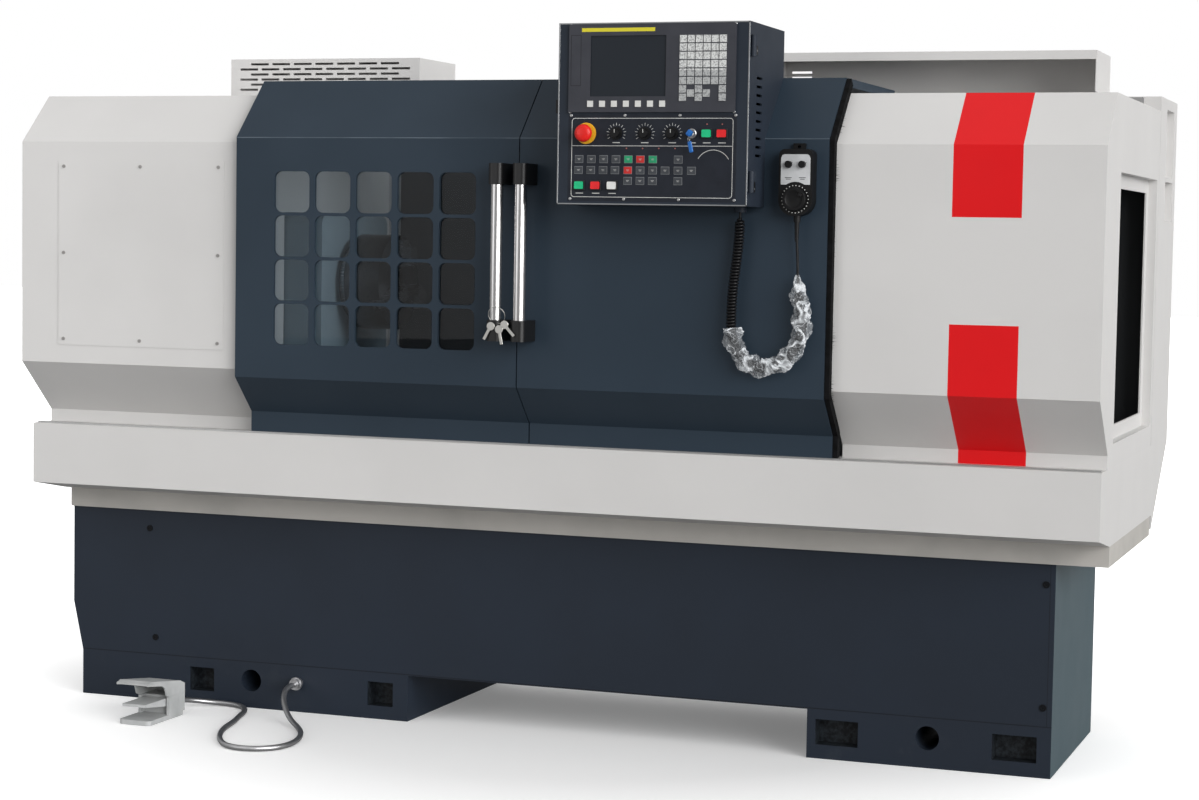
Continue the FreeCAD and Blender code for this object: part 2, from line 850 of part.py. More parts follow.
def make_drive():
    across = ("spindle_y", "motor_height")
    ends = ("left + pulley_left", "left + pulley_left + pulley_wide")
    disc = rod("motor_pulley_disc", "x", "pulley_radius", across, ends)
    shaft_ends = (ends[0], "left + headstock_left + motor_overlap")
    shaft = rod("motor_shaft_rod", "x", "motor_shaft", across, shaft_ends)
    keep(fuse("motor_pulley_solid", disc, shaft), "motor_pulley")
    start = "left + headstock_left + motor_overlap + running_gap"
    body = rod("motor_drum", "x", "motor_radius", across, (start, start + " + motor_long"))
    y = ("spindle_y - motor_radius", "spindle_y + motor_radius")
    z = ("headstock_top", "motor_height")
    foot = box("motor_foot", (start, start + " + motor_long"), y, z)
    keep(fuse("motor_solid", body, foot), "spindle_motor")

    def loop(name, radius, x):
        low = rod(name + "_low", "x", radius, ("spindle_y", "spindle_height"), x)
        high = rod(name + "_high", "x", radius, ("spindle_y", "motor_height"), x)
        y = (f"spindle_y - ({radius})", f"spindle_y + {radius}")
        return fuse(name, low, high, box(name + "_span", x, y, ("spindle_height", "motor_height")))

    past = (ends[0] + " - overcut", ends[1] + " + overcut")
    inner = loop("belt_inner", "pulley_radius + running_gap", past)
    edges = (ends[0] + " + belt_margin", ends[1] + " - belt_margin")
    outer = loop("belt_outer", "pulley_radius + belt_thick", edges)
    keep(cut("belt_cut", outer, inner), "drive_belt")


# ---------------------------------------------------------------- saddle, tool post, tailstock


def make_saddle():
    x = ("left + saddle_left", "left + saddle_left + saddle_long")
    y = ("spindle_y - bed_half - saddle_over", "spindle_y + bed_half + saddle_over")
    z = ("saddle_low", "bed_top + saddle_thick + running_gap")
    plate = box("saddle_plate", x, y, z)
    y = ("front + screw_place - bracket_half", "spindle_y - bed_half - running_gap")
    apron = box("saddle_apron", x, y, ("apron_low", "bed_top + saddle_thick + running_gap"))
    across = ("front + screw_place", "screw_height")
    ends = (x[0] + " - overcut", x[1] + " + overcut")
    bore = rod("saddle_bore", "x", "screw_rod + fit_gap", across, ends)
    keep(cut("saddle_cut", fuse("saddle_solid", plate, apron), bore), "saddle")
    x = ("left + saddle_left + slide_inset", "left + saddle_left + saddle_long - slide_inset")
    start = "spindle_y - bed_half - slide_lead"
    y = (start, start + " + 2*slide_half")
    plate = box("slide_plate", x, y, ("slide_low", "post_low"))
    ends = ("post_low", "head_low - running_gap")
    post = rod("slide_post", "z", "turret_radius", ("turret_x", "turret_y"), ends)
    keep(fuse("slide_solid", plate, post), "cross_slide")


def make_turret():
    x = ("turret_x - turret_half", "turret_x + turret_half")
    y = ("turret_y - turret_half", "turret_y + turret_half")
    z = ("head_low", "head_low + turret_tall")
    head = rounded("turret_head", box("turret_block", x, y, z), "z", "turret_corner")
    level = "spindle_height - tool_size"
    centre = ("turret_x", "turret_y", "spindle_height")
    # each tool lies in an open slot along one side of the head, its tip just past the corner
    x = ("turret_x - turret_half - overcut", "turret_x + turret_half + overcut")
    y = ("turret_y - turret_half - overcut", "turret_y - turret_half + tool_size + fit_gap")
    slot = box("turret_slot", x, y, (level + " - fit_gap", "spindle_height + tool_clear"))
    x = ("turret_x - turret_half - tool_out", "turret_x - turret_half - tool_out + tool_long")
    y = ("turret_y - turret_half", "turret_y - turret_half + tool_size")
    shank = box("tool_shank", x, y, (level, "spindle_height"))
    slots = [turned(f"turret_slot_{i}", slot, centre, (0, 0, 1), 90 * i) for i in range(4)]
    tools = [turned(f"tool_{i}", shank, centre, (0, 0, 1), 90 * i) for i in range(4)]
    keep(cut("turret_cut", head, *slots), "tool_turret")
    keep(group("tools_group", *tools), "turning_tools")


def make_tailstock():
    x = ("left + tail_left", "left + tail_left + tail_long")
    y = ("spindle_y - bed_half", "spindle_y + bed_half")
    foot = box("tail_foot_plate", x, y, ("saddle_low", "saddle_low + tail_foot"))
    y = ("spindle_y - tail_half", "spindle_y + tail_half")
    column = box("tail_column", x, y, ("saddle_low + tail_foot - overcut", "spindle_height"))
    across = ("spindle_y", "spindle_height")
    barrel = rod("tail_barrel", "x", "barrel_radius", across, x)
    solid = fuse("tail_solid", foot, column, barrel)
    ends = (x[0] + " - overcut", x[1] + " + overcut")
    bore = rod("tail_bore", "x", "quill_radius + fit_gap", across, ends)
    keep(cut("tail_cut", solid, bore), "tailstock_body")
    start = "left + tail_left - quill_out"
    quill = rod("quill_rod", "x", "quill_radius", across, (start, start + " + quill_long"))
    ends = (start + " - centre_long", start + " + overcut")
    tip = cone("centre_tip", "x", ("centre_point", "centre_radius"), across, ends)
    keep(fuse("quill_solid", quill, tip), "tailstock_quill")


# ---------------------------------------------------------------- cabinets and panels


def cabinet_chain():
    return chain(
        ("front + cabinet_skirt", "tray_top"),
        ("front + cabinet_skirt", "cabinet_skirt_top"),
        ("front - cabinet_proud", "cabinet_low"),
        ("front - cabinet_proud", "cabinet_high"),
        ("front + cabinet_chamfer", "cabinet_top"),
        ("front + cabinet_back", "cabinet_top"),
        ("front + cabinet_back", "tray_top"),
    )


def door_chain():
    return chain(
        ("front + door_skirt", "door_bottom"),
        ("front + door_skirt", "door_skirt_top"),
        ("front - door_proud", "door_low"),
        ("front - door_proud", "door_high"),
        ("front + door_chamfer", "door_top"),
        ("front + door_back", "door_top"),
    )


def shell(name, low, high):
    """A folded cover along X: front, slopes, roof and back of one sheet."""
    outer = cabinet_chain()
    inner = inset(outer, value("cabinet_sheet"))
    return prism(name, "YZ", pairs(outer + inner[::-1]), low, high)


def end_sheet(name, low, high):
    return prism(name, "YZ", pairs(cabinet_chain()), low, high)


def make_headstock_cover():
    end = "left + cabinet_wide - door_gap"
    sheet_end = end_sheet("cabinet_end", "left", "left + cabinet_sheet")
    x = ("left", "left + deck_right")
    y = ("front + deck_front", "front + cabinet_back")
    deck = box("cabinet_deck", x, y, ("cabinet_top - cabinet_sheet", "cabinet_top"))
    y = ("front + cabinet_back - cabinet_sheet", "front + cabinet_back")
    x = ("left", "left + electric_left - door_gap")
    wall = box("cabinet_wall", x, y, ("tray_top", "cabinet_top"))
    # the wall between the drive and the work room has a hole for the headstock and the bed
    inner_end = end_sheet("cabinet_inner_end", end + " - cabinet_sheet", end)
    x = (end + " - cabinet_sheet - overcut", end + " + overcut")
    y = ("spindle_y - headstock_half - door_gap", "spindle_y + headstock_half + door_gap")
    hole = box("headstock_hole", x, y, ("tray_top - overcut", "headstock_top + door_gap"))
    inner_wall = cut("cabinet_inner_wall", inner_end, hole)
    shell_part = shell("cabinet_shell", "left", end)
    keep(fuse("cabinet_solid", shell_part, sheet_end, inner_wall, deck, wall), "headstock_cover")
    face = "front - cabinet_proud"
    x = ("left + panel_left", "left + panel_left + panel_wide")
    z = ("panel_low", "panel_low + panel_tall")
    plate = box("access_plate", x, (face + " - panel_sheet", face), z)
    keep(rounded("access_round", plate, "y", "panel_corner"), "access_panel")


def make_screws():
    """Small screws of the access panel and larger ones of the base."""
    face = "front - cabinet_proud - panel_sheet"
    lows = ["panel_low + screw_inset", "panel_low + panel_tall - screw_inset"]
    sides = ["left + panel_left + screw_inset", "left + panel_left + panel_wide - screw_inset"]
    small = [(x, z) for z in lows for x in sides + ["left + panel_left + panel_wide/2"]]
    small += [(x, "panel_low + panel_tall/2") for x in sides]
    high = "base_top - base_screw_drop"
    large = [("left + base_screw_left", high), ("left + base_screw_left_low", "base_screw_low")]
    large += [("right - base_screw_right_inset", z) for z in (high, "base_screw_low")]
    spots = [(spot, face, "panel_screw_radius", "panel_screw_socket") for spot in small]
    spots += [(spot, "base_front", "base_screw_radius", "screw_socket") for spot in large]
    screws = []
    for number, (spot, wall, radius, socket_radius) in enumerate(spots):
        head = rod(f"screw_{number}", "y", radius, spot, (wall + " - screw_head", wall))
        ends = (wall + " - screw_head - overcut", wall + " - screw_head/3")
        socket = rod(f"socket_{number}", "y", socket_radius, spot, ends)
        screws.append(cut(f"screw_cut_{number}", head, socket))
    keep(group("screw_group", *screws), "cover_screws")


def make_end_cover():
    start = "right - cover_wide + door_gap"
    shell_part = shell("cover_shell", start, "right")
    back = "right - cabinet_sheet - window_sink"
    x = (back + " - overcut", "right + overcut")
    sheet_end = end_sheet("cover_end", "right - cabinet_sheet", "right")
    y = ("front + end_window_front", "front + end_window_front + end_window_deep")
    z = ("end_window_low", "end_window_low + end_window_tall")
    recess = box("window_recess", x, y, z)
    rim = box("window_rim", (back, back + " + cabinet_sheet"), y, z)
    frame = "end_window_frame"
    y_in = (y[0] + " + " + frame, y[1] + " - " + frame)
    z_in = (z[0] + " + " + frame, z[1] + " - " + frame)
    inner = box("window_inner", x, y_in, z_in)
    wide_y = (y[0] + " - cabinet_sheet", y[1] + " + cabinet_sheet")
    wide_z = (z[0] + " - cabinet_sheet", z[1] + " + cabinet_sheet")
    sleeve = cut("window_sleeve", box("window_sleeve_out", (back, "right"), wide_y, wide_z), recess)
    rim_cut = cut("window_rim_cut", rim, inner)
    end_cut = cut("cover_end_cut", sheet_end, box("window_recess_end", x, y, z))
    keep(fuse("cover_solid", shell_part, end_cut, sleeve, rim_cut), "end_cover")


# ---------------------------------------------------------------- roof pieces, electrical cabinet


def open_box(name, x, y, z, sheet_size, open_side):
    """A sheet box with one side open: -z for below, -y for the front."""
    solid = box(name + "_out", x, y, z)
    inner = {axis: [ends[0] + " + " + sheet_size, ends[1] + " - " + sheet_size] for axis, ends in
             (("x", x), ("y", y), ("z", z))}
    inner[open_side][0] = {"y": y, "z": z}[open_side][0] + " - overcut"
    hollow = box(name + "_in", tuple(inner["x"]), tuple(inner["y"]), tuple(inner["z"]))
    return cut(name + "_box", solid, hollow)


def make_vent_cover():
    x = ("left + vent_left", "left + vent_right")
    y = ("front + vent_front", "front + cabinet_back")
    body = open_box("vent", x, y, ("cabinet_top", "vent_top"), "roof_sheet", "z")
    slots = []
    for line in range(6):
        z = f"vent_row_low + {line}*vent_row_step"
        shift = "vent_step/2" if line % 2 else "0"
        for number in range(7 if line % 2 else 8):
            start = f"left + vent_left + vent_slot_margin + {shift} + {number}*vent_step"
            y = ("front + vent_front - overcut", "front + vent_front + roof_sheet + overcut")
            ends = (start, start + " + vent_slot")
            slots.append(box(f"vent_slot_{line}_{number}", ends, y, (z, z + " + vent_slot_tall")))
    keep(cut("vent_cut", body, *slots), "vent_cover")


def make_rear_hood():
    x = ("left + hood_left", "left + hood_right")
    y = ("front + hood_front", "front + hood_back")
    body = open_box("hood", x, y, ("electric_top - hood_skirt", "hood_top"), "roof_sheet", "y")
    y = ("front + hood_front - overcut", "front + electric_front - running_gap")
    x_cut = (x[0] + " - overcut", x[1] + " + overcut")
    z_cut = ("electric_top - hood_skirt - overcut", "electric_top")
    foot = box("hood_foot_cut", x_cut, y, z_cut)
    y = ("front + electric_front - running_gap - overcut", "front + hood_back + overcut")
    heel = box("hood_heel_cut", x_cut, y, z_cut)
    trimmed = cut("hood_trim", body, foot, heel)
    y = ("front + hood_front", "front + hood_front + roof_sheet")
    lip = box("hood_lip_bar", x, y, ("hood_top - hood_lip", "hood_top"))
    y = ("front + electric_front", "front + hood_back")
    sole = box("hood_sole", x, y, ("electric_top", "electric_top + roof_sheet"))
    slots = []
    for line in range(3):
        z = f"electric_top + hood_slot_rise + {line}*vent_row_step"
        y = ("front + hood_back - roof_sheet - overcut", "front + hood_back + overcut")
        start = "left + hood_left + hood_slot_margin"
        ends = (start, start + " + vent_slot")
        slots.append(box(f"hood_slot_{line}", ends, y, (z, z + " + vent_slot_tall")))
    keep(cut("hood_cut", fuse("hood_solid", trimmed, lip, sole), *slots), "rear_hood")


def make_electrical():
    outline = [
        ("front + electric_front", "tray_top"),
        ("front + electric_front", "electric_top"),
        ("electric_back", "electric_top"),
        ("electric_back", "electric_low"),
        ("front + tray_deep + running_gap", "electric_heel"),
        ("front + tray_deep + running_gap", "tray_top"),
    ]
    solid = prism("electric_solid", "YZ", outline, "left + electric_left", "right")
    x = ("left + electric_left + electric_sheet", "right - electric_sheet")
    y = ("front + electric_front + electric_sheet", "electric_back - electric_sheet")
    z = ("tray_top + electric_sheet", "electric_top - electric_sheet")
    hollow = [box("electric_room", x, y, z)]
    edge = "electric_door_inset + electric_lip"
    door_x = (f"left + electric_left + {edge}", f"right - ({edge})")
    y = ("electric_back - electric_sheet - overcut", "electric_back + overcut")
    z = ("electric_door_low + electric_lip", "electric_door_low + electric_door_tall - electric_lip")
    hollow.append(box("electric_doorway", door_x, y, z))
    # two shallow pans in the end wall
    back = "right - side_port_recess"
    y = ("front + side_port_front", "front + side_port_front + side_port_deep")
    bar = "side_port_low + side_port_bar_rise"
    top = "side_port_low + side_port_tall"
    wide = (y[0] + " - electric_sheet", y[1] + " + electric_sheet")
    tall = ("side_port_low - electric_sheet", top + " + electric_sheet")
    pan = box("side_port_pan", (back + " - electric_sheet", "right"), wide, tall)
    x = (back, "right + overcut")
    ports = [box("side_port_lower", x, y, ("side_port_low", bar))]
    ports.append(box("side_port_upper", x, y, (bar + " + side_port_bar", top)))
    room = cut("electric_cut", fuse("electric_with_pan", cut("electric_hollow", solid, *hollow), pan), *ports)
    axis_x = "right - electric_door_inset + hinge_radius + hinge_clear"
    axis_y = "depth/2 - electric_door_thick/2"
    fixed, moving = [room], []
    top = "electric_door_low + electric_door_tall"
    for number, z in enumerate(("electric_door_low + leaf_hinge", top + " - leaf_hinge")):
        halves = hinge(f"electric_hinge_{number}", axis_x, axis_y, z, "electric_back")
        fixed.append(halves[0])
        moving.append(halves[1])
    keep(fuse("electric_body", *fixed), "electrical_cabinet")
    x = ("left + electric_left + electric_door_inset", "right - electric_door_inset")
    y = ("electric_back + running_gap", "back")
    z = ("electric_door_low", "electric_door_low + electric_door_tall")
    leaf = rounded("electric_leaf", box("electric_leaf_block", x, y, z), "y", "leaf_corner")
    keep(fuse("electric_door_body", leaf, *moving), "electrical_door")


def hinge(name, axis_x, axis_y, level, wall):
    """One hinge: the fixed half above the level with its pin, the moving half below it."""
    pin_across = (axis_x, axis_y)
    upper = (level + " + running_gap", level + " + hinge_half")
    top = rod(name + "_top", "z", "hinge_radius", pin_across, upper)
    lower = (level + " - hinge_half", level)
    pin = rod(name + "_pin", "z", "hinge_pin", pin_across, (lower[0], level + " + overcut"))
    ahead = value(wall) > value(axis_y)
    y = (axis_y, wall + " + overcut") if ahead else (wall + " - overcut", axis_y)
    web = box(name + "_web", (axis_x + " - hinge_web", axis_x + " + hinge_web"), y, upper)
    fixed = fuse(name + "_fixed", top, pin, web)
    low = rod(name + "_low", "z", "hinge_radius", pin_across, lower)
    x = (axis_x + " - hinge_radius - hinge_reach", axis_x)
    arm = box(name + "_arm", x, (axis_y + " - hinge_web", axis_y + " + hinge_web"), lower)
    ends = (level + " - hinge_half - overcut", level + " + overcut")
    bore = rod(name + "_bore", "z", "hinge_pin + fit_gap", pin_across, ends)
    return fixed, cut(name + "_moving", fuse(name + "_leaf", low, arm), bore)


# ---------------------------------------------------------------- sliding doors


def door_skin(name, low, high):
    outer = door_chain()
    inner = inset(outer, value("door_thick"))
    return prism(name, "YZ", pairs(outer + inner[::-1]), low, high)


def make_left_door():
    x = ("left + door_start + door_gap", "left + door_seam - door_gap/2")
    skin = door_skin("left_skin", *x)
    count_x, count_z = SIZES["pane_columns"], SIZES["pane_rows"]
    holes = []
    for column in range(count_x):
        for row in range(count_z):
            start = f"left + pane_left + {column}*pane_step"
            low = f"pane_low + {row}*pane_rise"
            y = ("door_face - overcut", "door_inner + overcut")
            z = (low, low + " + pane_tall")
            pane = box(f"pane_{column}_{row}", (start, start + " + pane_wide"), y, z)
            holes.append(rounded(f"pane_round_{column}_{row}", pane, "y", "pane_radius"))
    span_x = f"left + pane_left + {count_x - 1}*pane_step + pane_wide"
    span_z = f"pane_low + {count_z - 1}*pane_rise + pane_tall"
    x = ("left + pane_left - glass_border", span_x + " + glass_border")
    z = ("pane_low - glass_border", span_z + " + glass_border")
    rebate = box("glass_rebate", x, ("door_face + glass_cover", "door_inner + overcut"), z)
    keep(cut("left_door_cut", skin, rebate, *holes), "left_door")
    y = ("door_face + glass_cover", "door_face + glass_cover + glass_thick")
    x = (x[0] + " + running_gap", x[1] + " - running_gap")
    z = (z[0] + " + running_gap", z[1] + " - running_gap")
    keep(box("glass_sheet", x, y, z), "window_glass")


def make_right_door():
    x = ("left + door_seam + door_gap/2", "left + door_end - door_gap")
    keep(door_skin("right_skin", *x), "right_door")
    outer = door_chain()[:-1]
    rim = inset(outer, value("seal_inset")) + inset(outer, value("seal_reach"))[::-1]
    keep(prism("seal_strip", "YZ", pairs(rim), x[1], x[1] + " + seal_wide"), "brush_seal")


def make_handle(side):
    place = "left + handle_" + side
    tube_y = "door_face - handle_stand"
    half = "handle_block_wide/2"
    blocks = []
    for name, low in (("low", "handle_low"), ("high", "handle_high - handle_block")):
        x = (f"{place} - {half}", f"{place} + {half}")
        y = (f"{tube_y} - {half}", "door_face")
        block = box(f"{side}_block_{name}", x, y, (low, low + " + handle_block"))
        soft = rounded(f"{side}_soft_{name}", block, "z", "handle_corner", lambda c: c.y < value(tube_y))
        blocks.append(soft)
    ends = ("handle_low + handle_block", "handle_high - handle_block")
    tube = rod(side + "_tube", "z", "handle_radius", (place, tube_y), ends)
    keep(group(side + "_handle_group", tube, *blocks), side + "_handle")


def make_rails():
    x = ("left + cabinet_sheet", "right - cabinet_sheet")
    y = ("front + rail_front", "front + rail_front + rail_deep")
    top = box("rail_top", x, y, ("cabinet_top", "door_top - door_thick - running_gap"))
    y = ("front + door_skirt + rail_margin", "front + door_skirt + door_thick - rail_margin")
    low = box("rail_low", x, y, ("tray_top", "door_bottom - running_gap"))
    keep(group("rail_group", top, low), "door_rails")


# ---------------------------------------------------------------- control box


def make_control_box():
    rear = "panel_back + running_gap"
    wall = value("box_sheet")
    outline = [
        (rear, "box_low"),
        ("door_face", "box_low"),
        ("door_face", "door_high"),
        ("front + door_chamfer", "door_top"),
        ("front + door_chamfer", "box_high"),
        (rear, "box_high"),
    ]
    corners = chain(*outline)
    x = ("left + box_left", "left + box_right")
    solid = prism("control_solid", "YZ", outline, *x)
    # the room inside keeps the sheet's thickness and is open at the front
    inner = inset(corners, -wall)
    inner[0].x -= value("overcut") + wall
    inner[-1].x -= value("overcut") + wall
    room = prism("control_room", "YZ", pairs(inner), x[0] + " + box_sheet", x[1] + " - box_sheet")
    louvres = []
    for number in range(10):
        z = f"louvre_low + {number}*louvre_step"
        x_slot = ("left + box_right - box_sheet - overcut", "left + box_right + overcut")
        y = ("front - louvre_front", "front - louvre_front + louvre_long")
        louvres.append(box(f"louvre_{number}", x_slot, y, (z, z + " + louvre_tall")))
    parts = [cut("control_shell", solid, room, *louvres)]
    across = ("box_x + cord_gland_place", "door_face - cord_stand")
    ends = ("box_low - cord_gland_long", "box_low + overcut")
    parts.append(rod("cord_gland", "z", "cord_radius + cord_gland_wall", across, ends))
    moving = []
    axis_x = "left + box_right + hinge_radius + hinge_clear"
    axis_y = "panel_face + panel_door_thick/2"
    for number, level in enumerate(("box_low + hinge_inset", "box_high - hinge_inset")):
        fixed, loose = hinge(f"panel_hinge_{number}", axis_x, axis_y, level, rear)
        z = (level + " + running_gap", level + " + hinge_half")
        x_leaf = ("left + box_right", axis_x + " + hinge_web")
        leaf = box(f"panel_leaf_{number}", x_leaf, (rear, rear + " + hinge_leaf"), z)
        parts += [fixed, leaf]
        moving.append(loose)
    keep(fuse("control_body", *parts), "control_box")
    y = ("panel_face", "panel_back")
    plate = box("panel_plate", x, y, ("box_low", "box_high"))
    slab = fuse("panel_slab", plate, *moving)
    holes = []
    spots = [("box_x + stop_place", "control_row", "stop_neck")]
    spots += [(f"box_x + knob_{n}", "control_row", "button_stem") for n in ("first", "second", "third")]
    spots += [("box_x + keyswitch_place", "control_row", "button_stem")]
    spots += [("box_x + green_place", "control_row", "button_stem")]
    spots += [("box_x + red_place", "control_row", "button_stem")]
    spots += [(f"box_x + lamp_{n}_place", "lamp_row", "button_stem") for n in ("green", "red", "white")]
    for number, (px, pz, radius) in enumerate(spots):
        ends = ("panel_face - overcut", "panel_back + overcut")
        holes.append(rod(f"panel_hole_{number}", "y", radius + " + stem_gap", (px, pz), ends))
    keep(cut("panel_cut", slab, *holes), "operator_panel")


def make_display():
    face = "panel_face - display_thick"
    x = ("left + display_left", "left + display_left + display_wide")
    z = ("display_low", "display_low + display_tall")
    plate = box("display_plate", x, (face, "panel_face"), z)
    plate = rounded("display_round", plate, "y", "display_corner")
    x = ("left + screen_left", "left + screen_left + screen_wide")
    z = ("screen_low", "screen_low + screen_tall")
    screen = box("screen_recess_cut", x, (face + " - overcut", face + " + screen_recess"), z)
    keys = []
    for number in range(7):
        start = f"left + softkey_left + {number}*softkey_step"
        y = (face + " - key_lift", face + " + overcut")
        z = ("softkey_low", "softkey_low + softkey_size")
        keys.append(box(f"softkey_{number}", (start, start + " + softkey_size"), y, z))
    # six full rows, and below them three columns with two cursor keys between them
    places = [(column, row) for row in range(2, 8) for column in range(6)]
    places += [(column, row) for row in (0, 1) for column in (0, 2, 5)]
    places += [(1, 0.5), (3, 0.5)]
    for number, (column, row) in enumerate(places):
        start = f"left + keypad_left + {column}*keypad_step"
        low = f"keypad_low + {row}*keypad_rise"
        y = (face + " - key_lift", face + " + overcut")
        keys.append(box(f"key_{number}", (start, start + " + keypad_key"), y, (low, low + " + keypad_key")))
    keep(fuse("display_solid", cut("display_cut", plate, screen), *keys), "display_unit")


def make_controls():
    across = ("box_x + stop_place", "control_row")
    cap_low = "panel_face - stop_tall"
    ends = (cap_low + " + stop_crown", "panel_face + stem_reach")
    neck = rod("stop_neck_rod", "y", "stop_neck", across, ends)
    ends = (cap_low, cap_low + " + stop_crown")
    cap = cone("stop_cap", "y", ("stop_radius - stop_taper", "stop_radius"), across, ends)
    ends = (cap_low + " + stop_crown", cap_low + " + stop_crown + stop_rim")
    rim = rod("stop_rim_disc", "y", "stop_radius", across, ends)
    keep(fuse("stop_solid", neck, cap, rim), "emergency_stop")
    for number, place in enumerate(("first", "second", "third"), 1):
        across = (f"box_x + knob_{place}", "control_row")
        ends = ("panel_face - knob_skirt", "panel_face - running_gap")
        skirt = rod(f"knob_skirt_{number}", "y", "knob_radius", across, ends)
        ends = ("panel_face - knob_tall", "panel_face - knob_skirt + overcut")
        grip = rod(f"knob_grip_{number}", "y", "knob_grip", across, ends)
        ends = ("panel_face - overcut", "panel_face + stem_reach")
        stem = rod(f"knob_stem_{number}", "y", "button_stem", across, ends)
        keep(fuse(f"knob_solid_{number}", skirt, grip, stem), f"override_knob_{number}")
    across = ("box_x + keyswitch_place", "control_row")
    ends = ("panel_face - key_barrel_tall", "panel_face - running_gap")
    barrel = rod("key_barrel", "y", "keyswitch_radius", across, ends)
    ends = ("panel_face - overcut", "panel_face + stem_reach")
    stem = rod("key_stem", "y", "button_stem", across, ends)
    x = ("box_x + keyswitch_place - key_thick/2", "box_x + keyswitch_place + key_thick/2")
    y = ("panel_face - key_tall", "panel_face - key_barrel_tall + overcut")
    bow = box("key_bow", x, y, ("control_row - key_half", "control_row + key_half"))
    keep(fuse("key_solid", barrel, stem, bow), "switch_key")
    spots = {
        "power_on_button": ("box_x + green_place", "control_row"),
        "power_off_button": ("box_x + red_place", "control_row"),
        "cycle_start_button": ("box_x + lamp_green_place", "lamp_row"),
        "feed_hold_button": ("box_x + lamp_red_place", "lamp_row"),
        "lamp_button": ("box_x + lamp_white_place", "lamp_row"),
    }
    for label, (x, z) in spots.items():
        sides = (f"{x} - button_wide/2", f"{x} + button_wide/2")
        ends = (f"{z} - button_tall/2", f"{z} + button_tall/2")
        y = ("panel_face - button_proud", "panel_face - button_lift")
        cap = rounded(label + "_round", box(label + "_cap", sides, y, ends), "y", "button_corner")
        ends = ("panel_face - button_lift - overcut", "panel_face + stem_reach")
        stem = rod(label + "_stem", "y", "button_stem", (x, z), ends)
        keep(fuse(label + "_solid", cap, stem), label)


# ---------------------------------------------------------------- pendant


def make_pendant():
    back = "door_face - running_gap"
    x = ("left + pendant_left", "left + pendant_left + pendant_wide")
    z = ("pendant_low", "pendant_low + pendant_tall")
    middle = value("pendant_low + pendant_tall/2")
    block = box("pendant_block", x, ("pendant_face", back), z)
    block = rounded("pendant_round_top", block, "y", "pendant_round", lambda c: c.z > middle)
    block = rounded("pendant_round_foot", block, "y", "pendant_foot_round", lambda c: c.z < middle)
    ear_x = ("wheel_x - ear_half", "wheel_x + ear_half")
    ear_y = (back + " - ear_thick", back)
    ear = box("pendant_ear", ear_x, ear_y, (z[1] + " - overcut", z[1] + " + ear_half"))
    ends = (ear_y[0] + " - overcut", back + " + overcut")
    slot = rod("pendant_ear_hole", "y", "ear_hole", ("wheel_x", z[1] + " + ear_hole_rise"), ends)
    body = fuse("pendant_solid", block, ear)
    across = ("wheel_x + pendant_gland_shift", "door_face - cord_stand")
    ends = ("pendant_low - pendant_gland_long", "pendant_low + overcut")
    gland = rod("pendant_gland", "z", "cord_thin + pendant_gland_wall", across, ends)
    holes = [slot]
    wheel = ("wheel_x", "pendant_low + pendant_wheel_rise")
    ends = ("pendant_face - overcut", "pendant_face + stem_reach + overcut")
    holes.append(rod("pendant_wheel_hole", "y", "button_stem + stem_gap", wheel, ends))
    knobs = []
    for number, side in ((1, "-"), (2, "+")):
        place = (f"wheel_x {side} pendant_knob_spread", "pendant_low + pendant_knob_rise")
        holes.append(rod(f"pendant_knob_hole_{number}", "y", "pendant_stem + stem_gap", place, ends))
        knobs.append(place)
    keep(cut("pendant_cut", fuse("pendant_with_gland", body, gland), *holes), "pendant_body")
    face = "pendant_face - running_gap"
    ends = ("pendant_face - pendant_wheel_tall", face)
    disc = rod("wheel_disc", "y", "pendant_wheel_radius", wheel, ends)
    place = (wheel[0] + " + wheel_grip_right", wheel[1] + " + wheel_grip_rise")
    ends = ("pendant_face - pendant_wheel_tall - wheel_grip_tall", "pendant_face - pendant_wheel_tall/2")
    grip = rod("wheel_grip", "y", "wheel_grip_radius", place, ends)
    ends = ("pendant_face - overcut", "pendant_face + stem_reach")
    stem = rod("wheel_stem", "y", "button_stem", wheel, ends)
    keep(fuse("wheel_solid", disc, grip, stem), "pendant_wheel")
    for number, place in enumerate(knobs, 1):
        cap = rod(f"pendant_cap_{number}", "y", "pendant_knob_radius", place,
                  ("pendant_face - pendant_knob_tall", face))
        stem = rod(f"pendant_stem_{number}", "y", "pendant_stem", place, ends)
        keep(fuse(f"pendant_knob_solid_{number}", cap, stem), f"pendant_knob_{number}")


# ---------------------------------------------------------------- foot switch


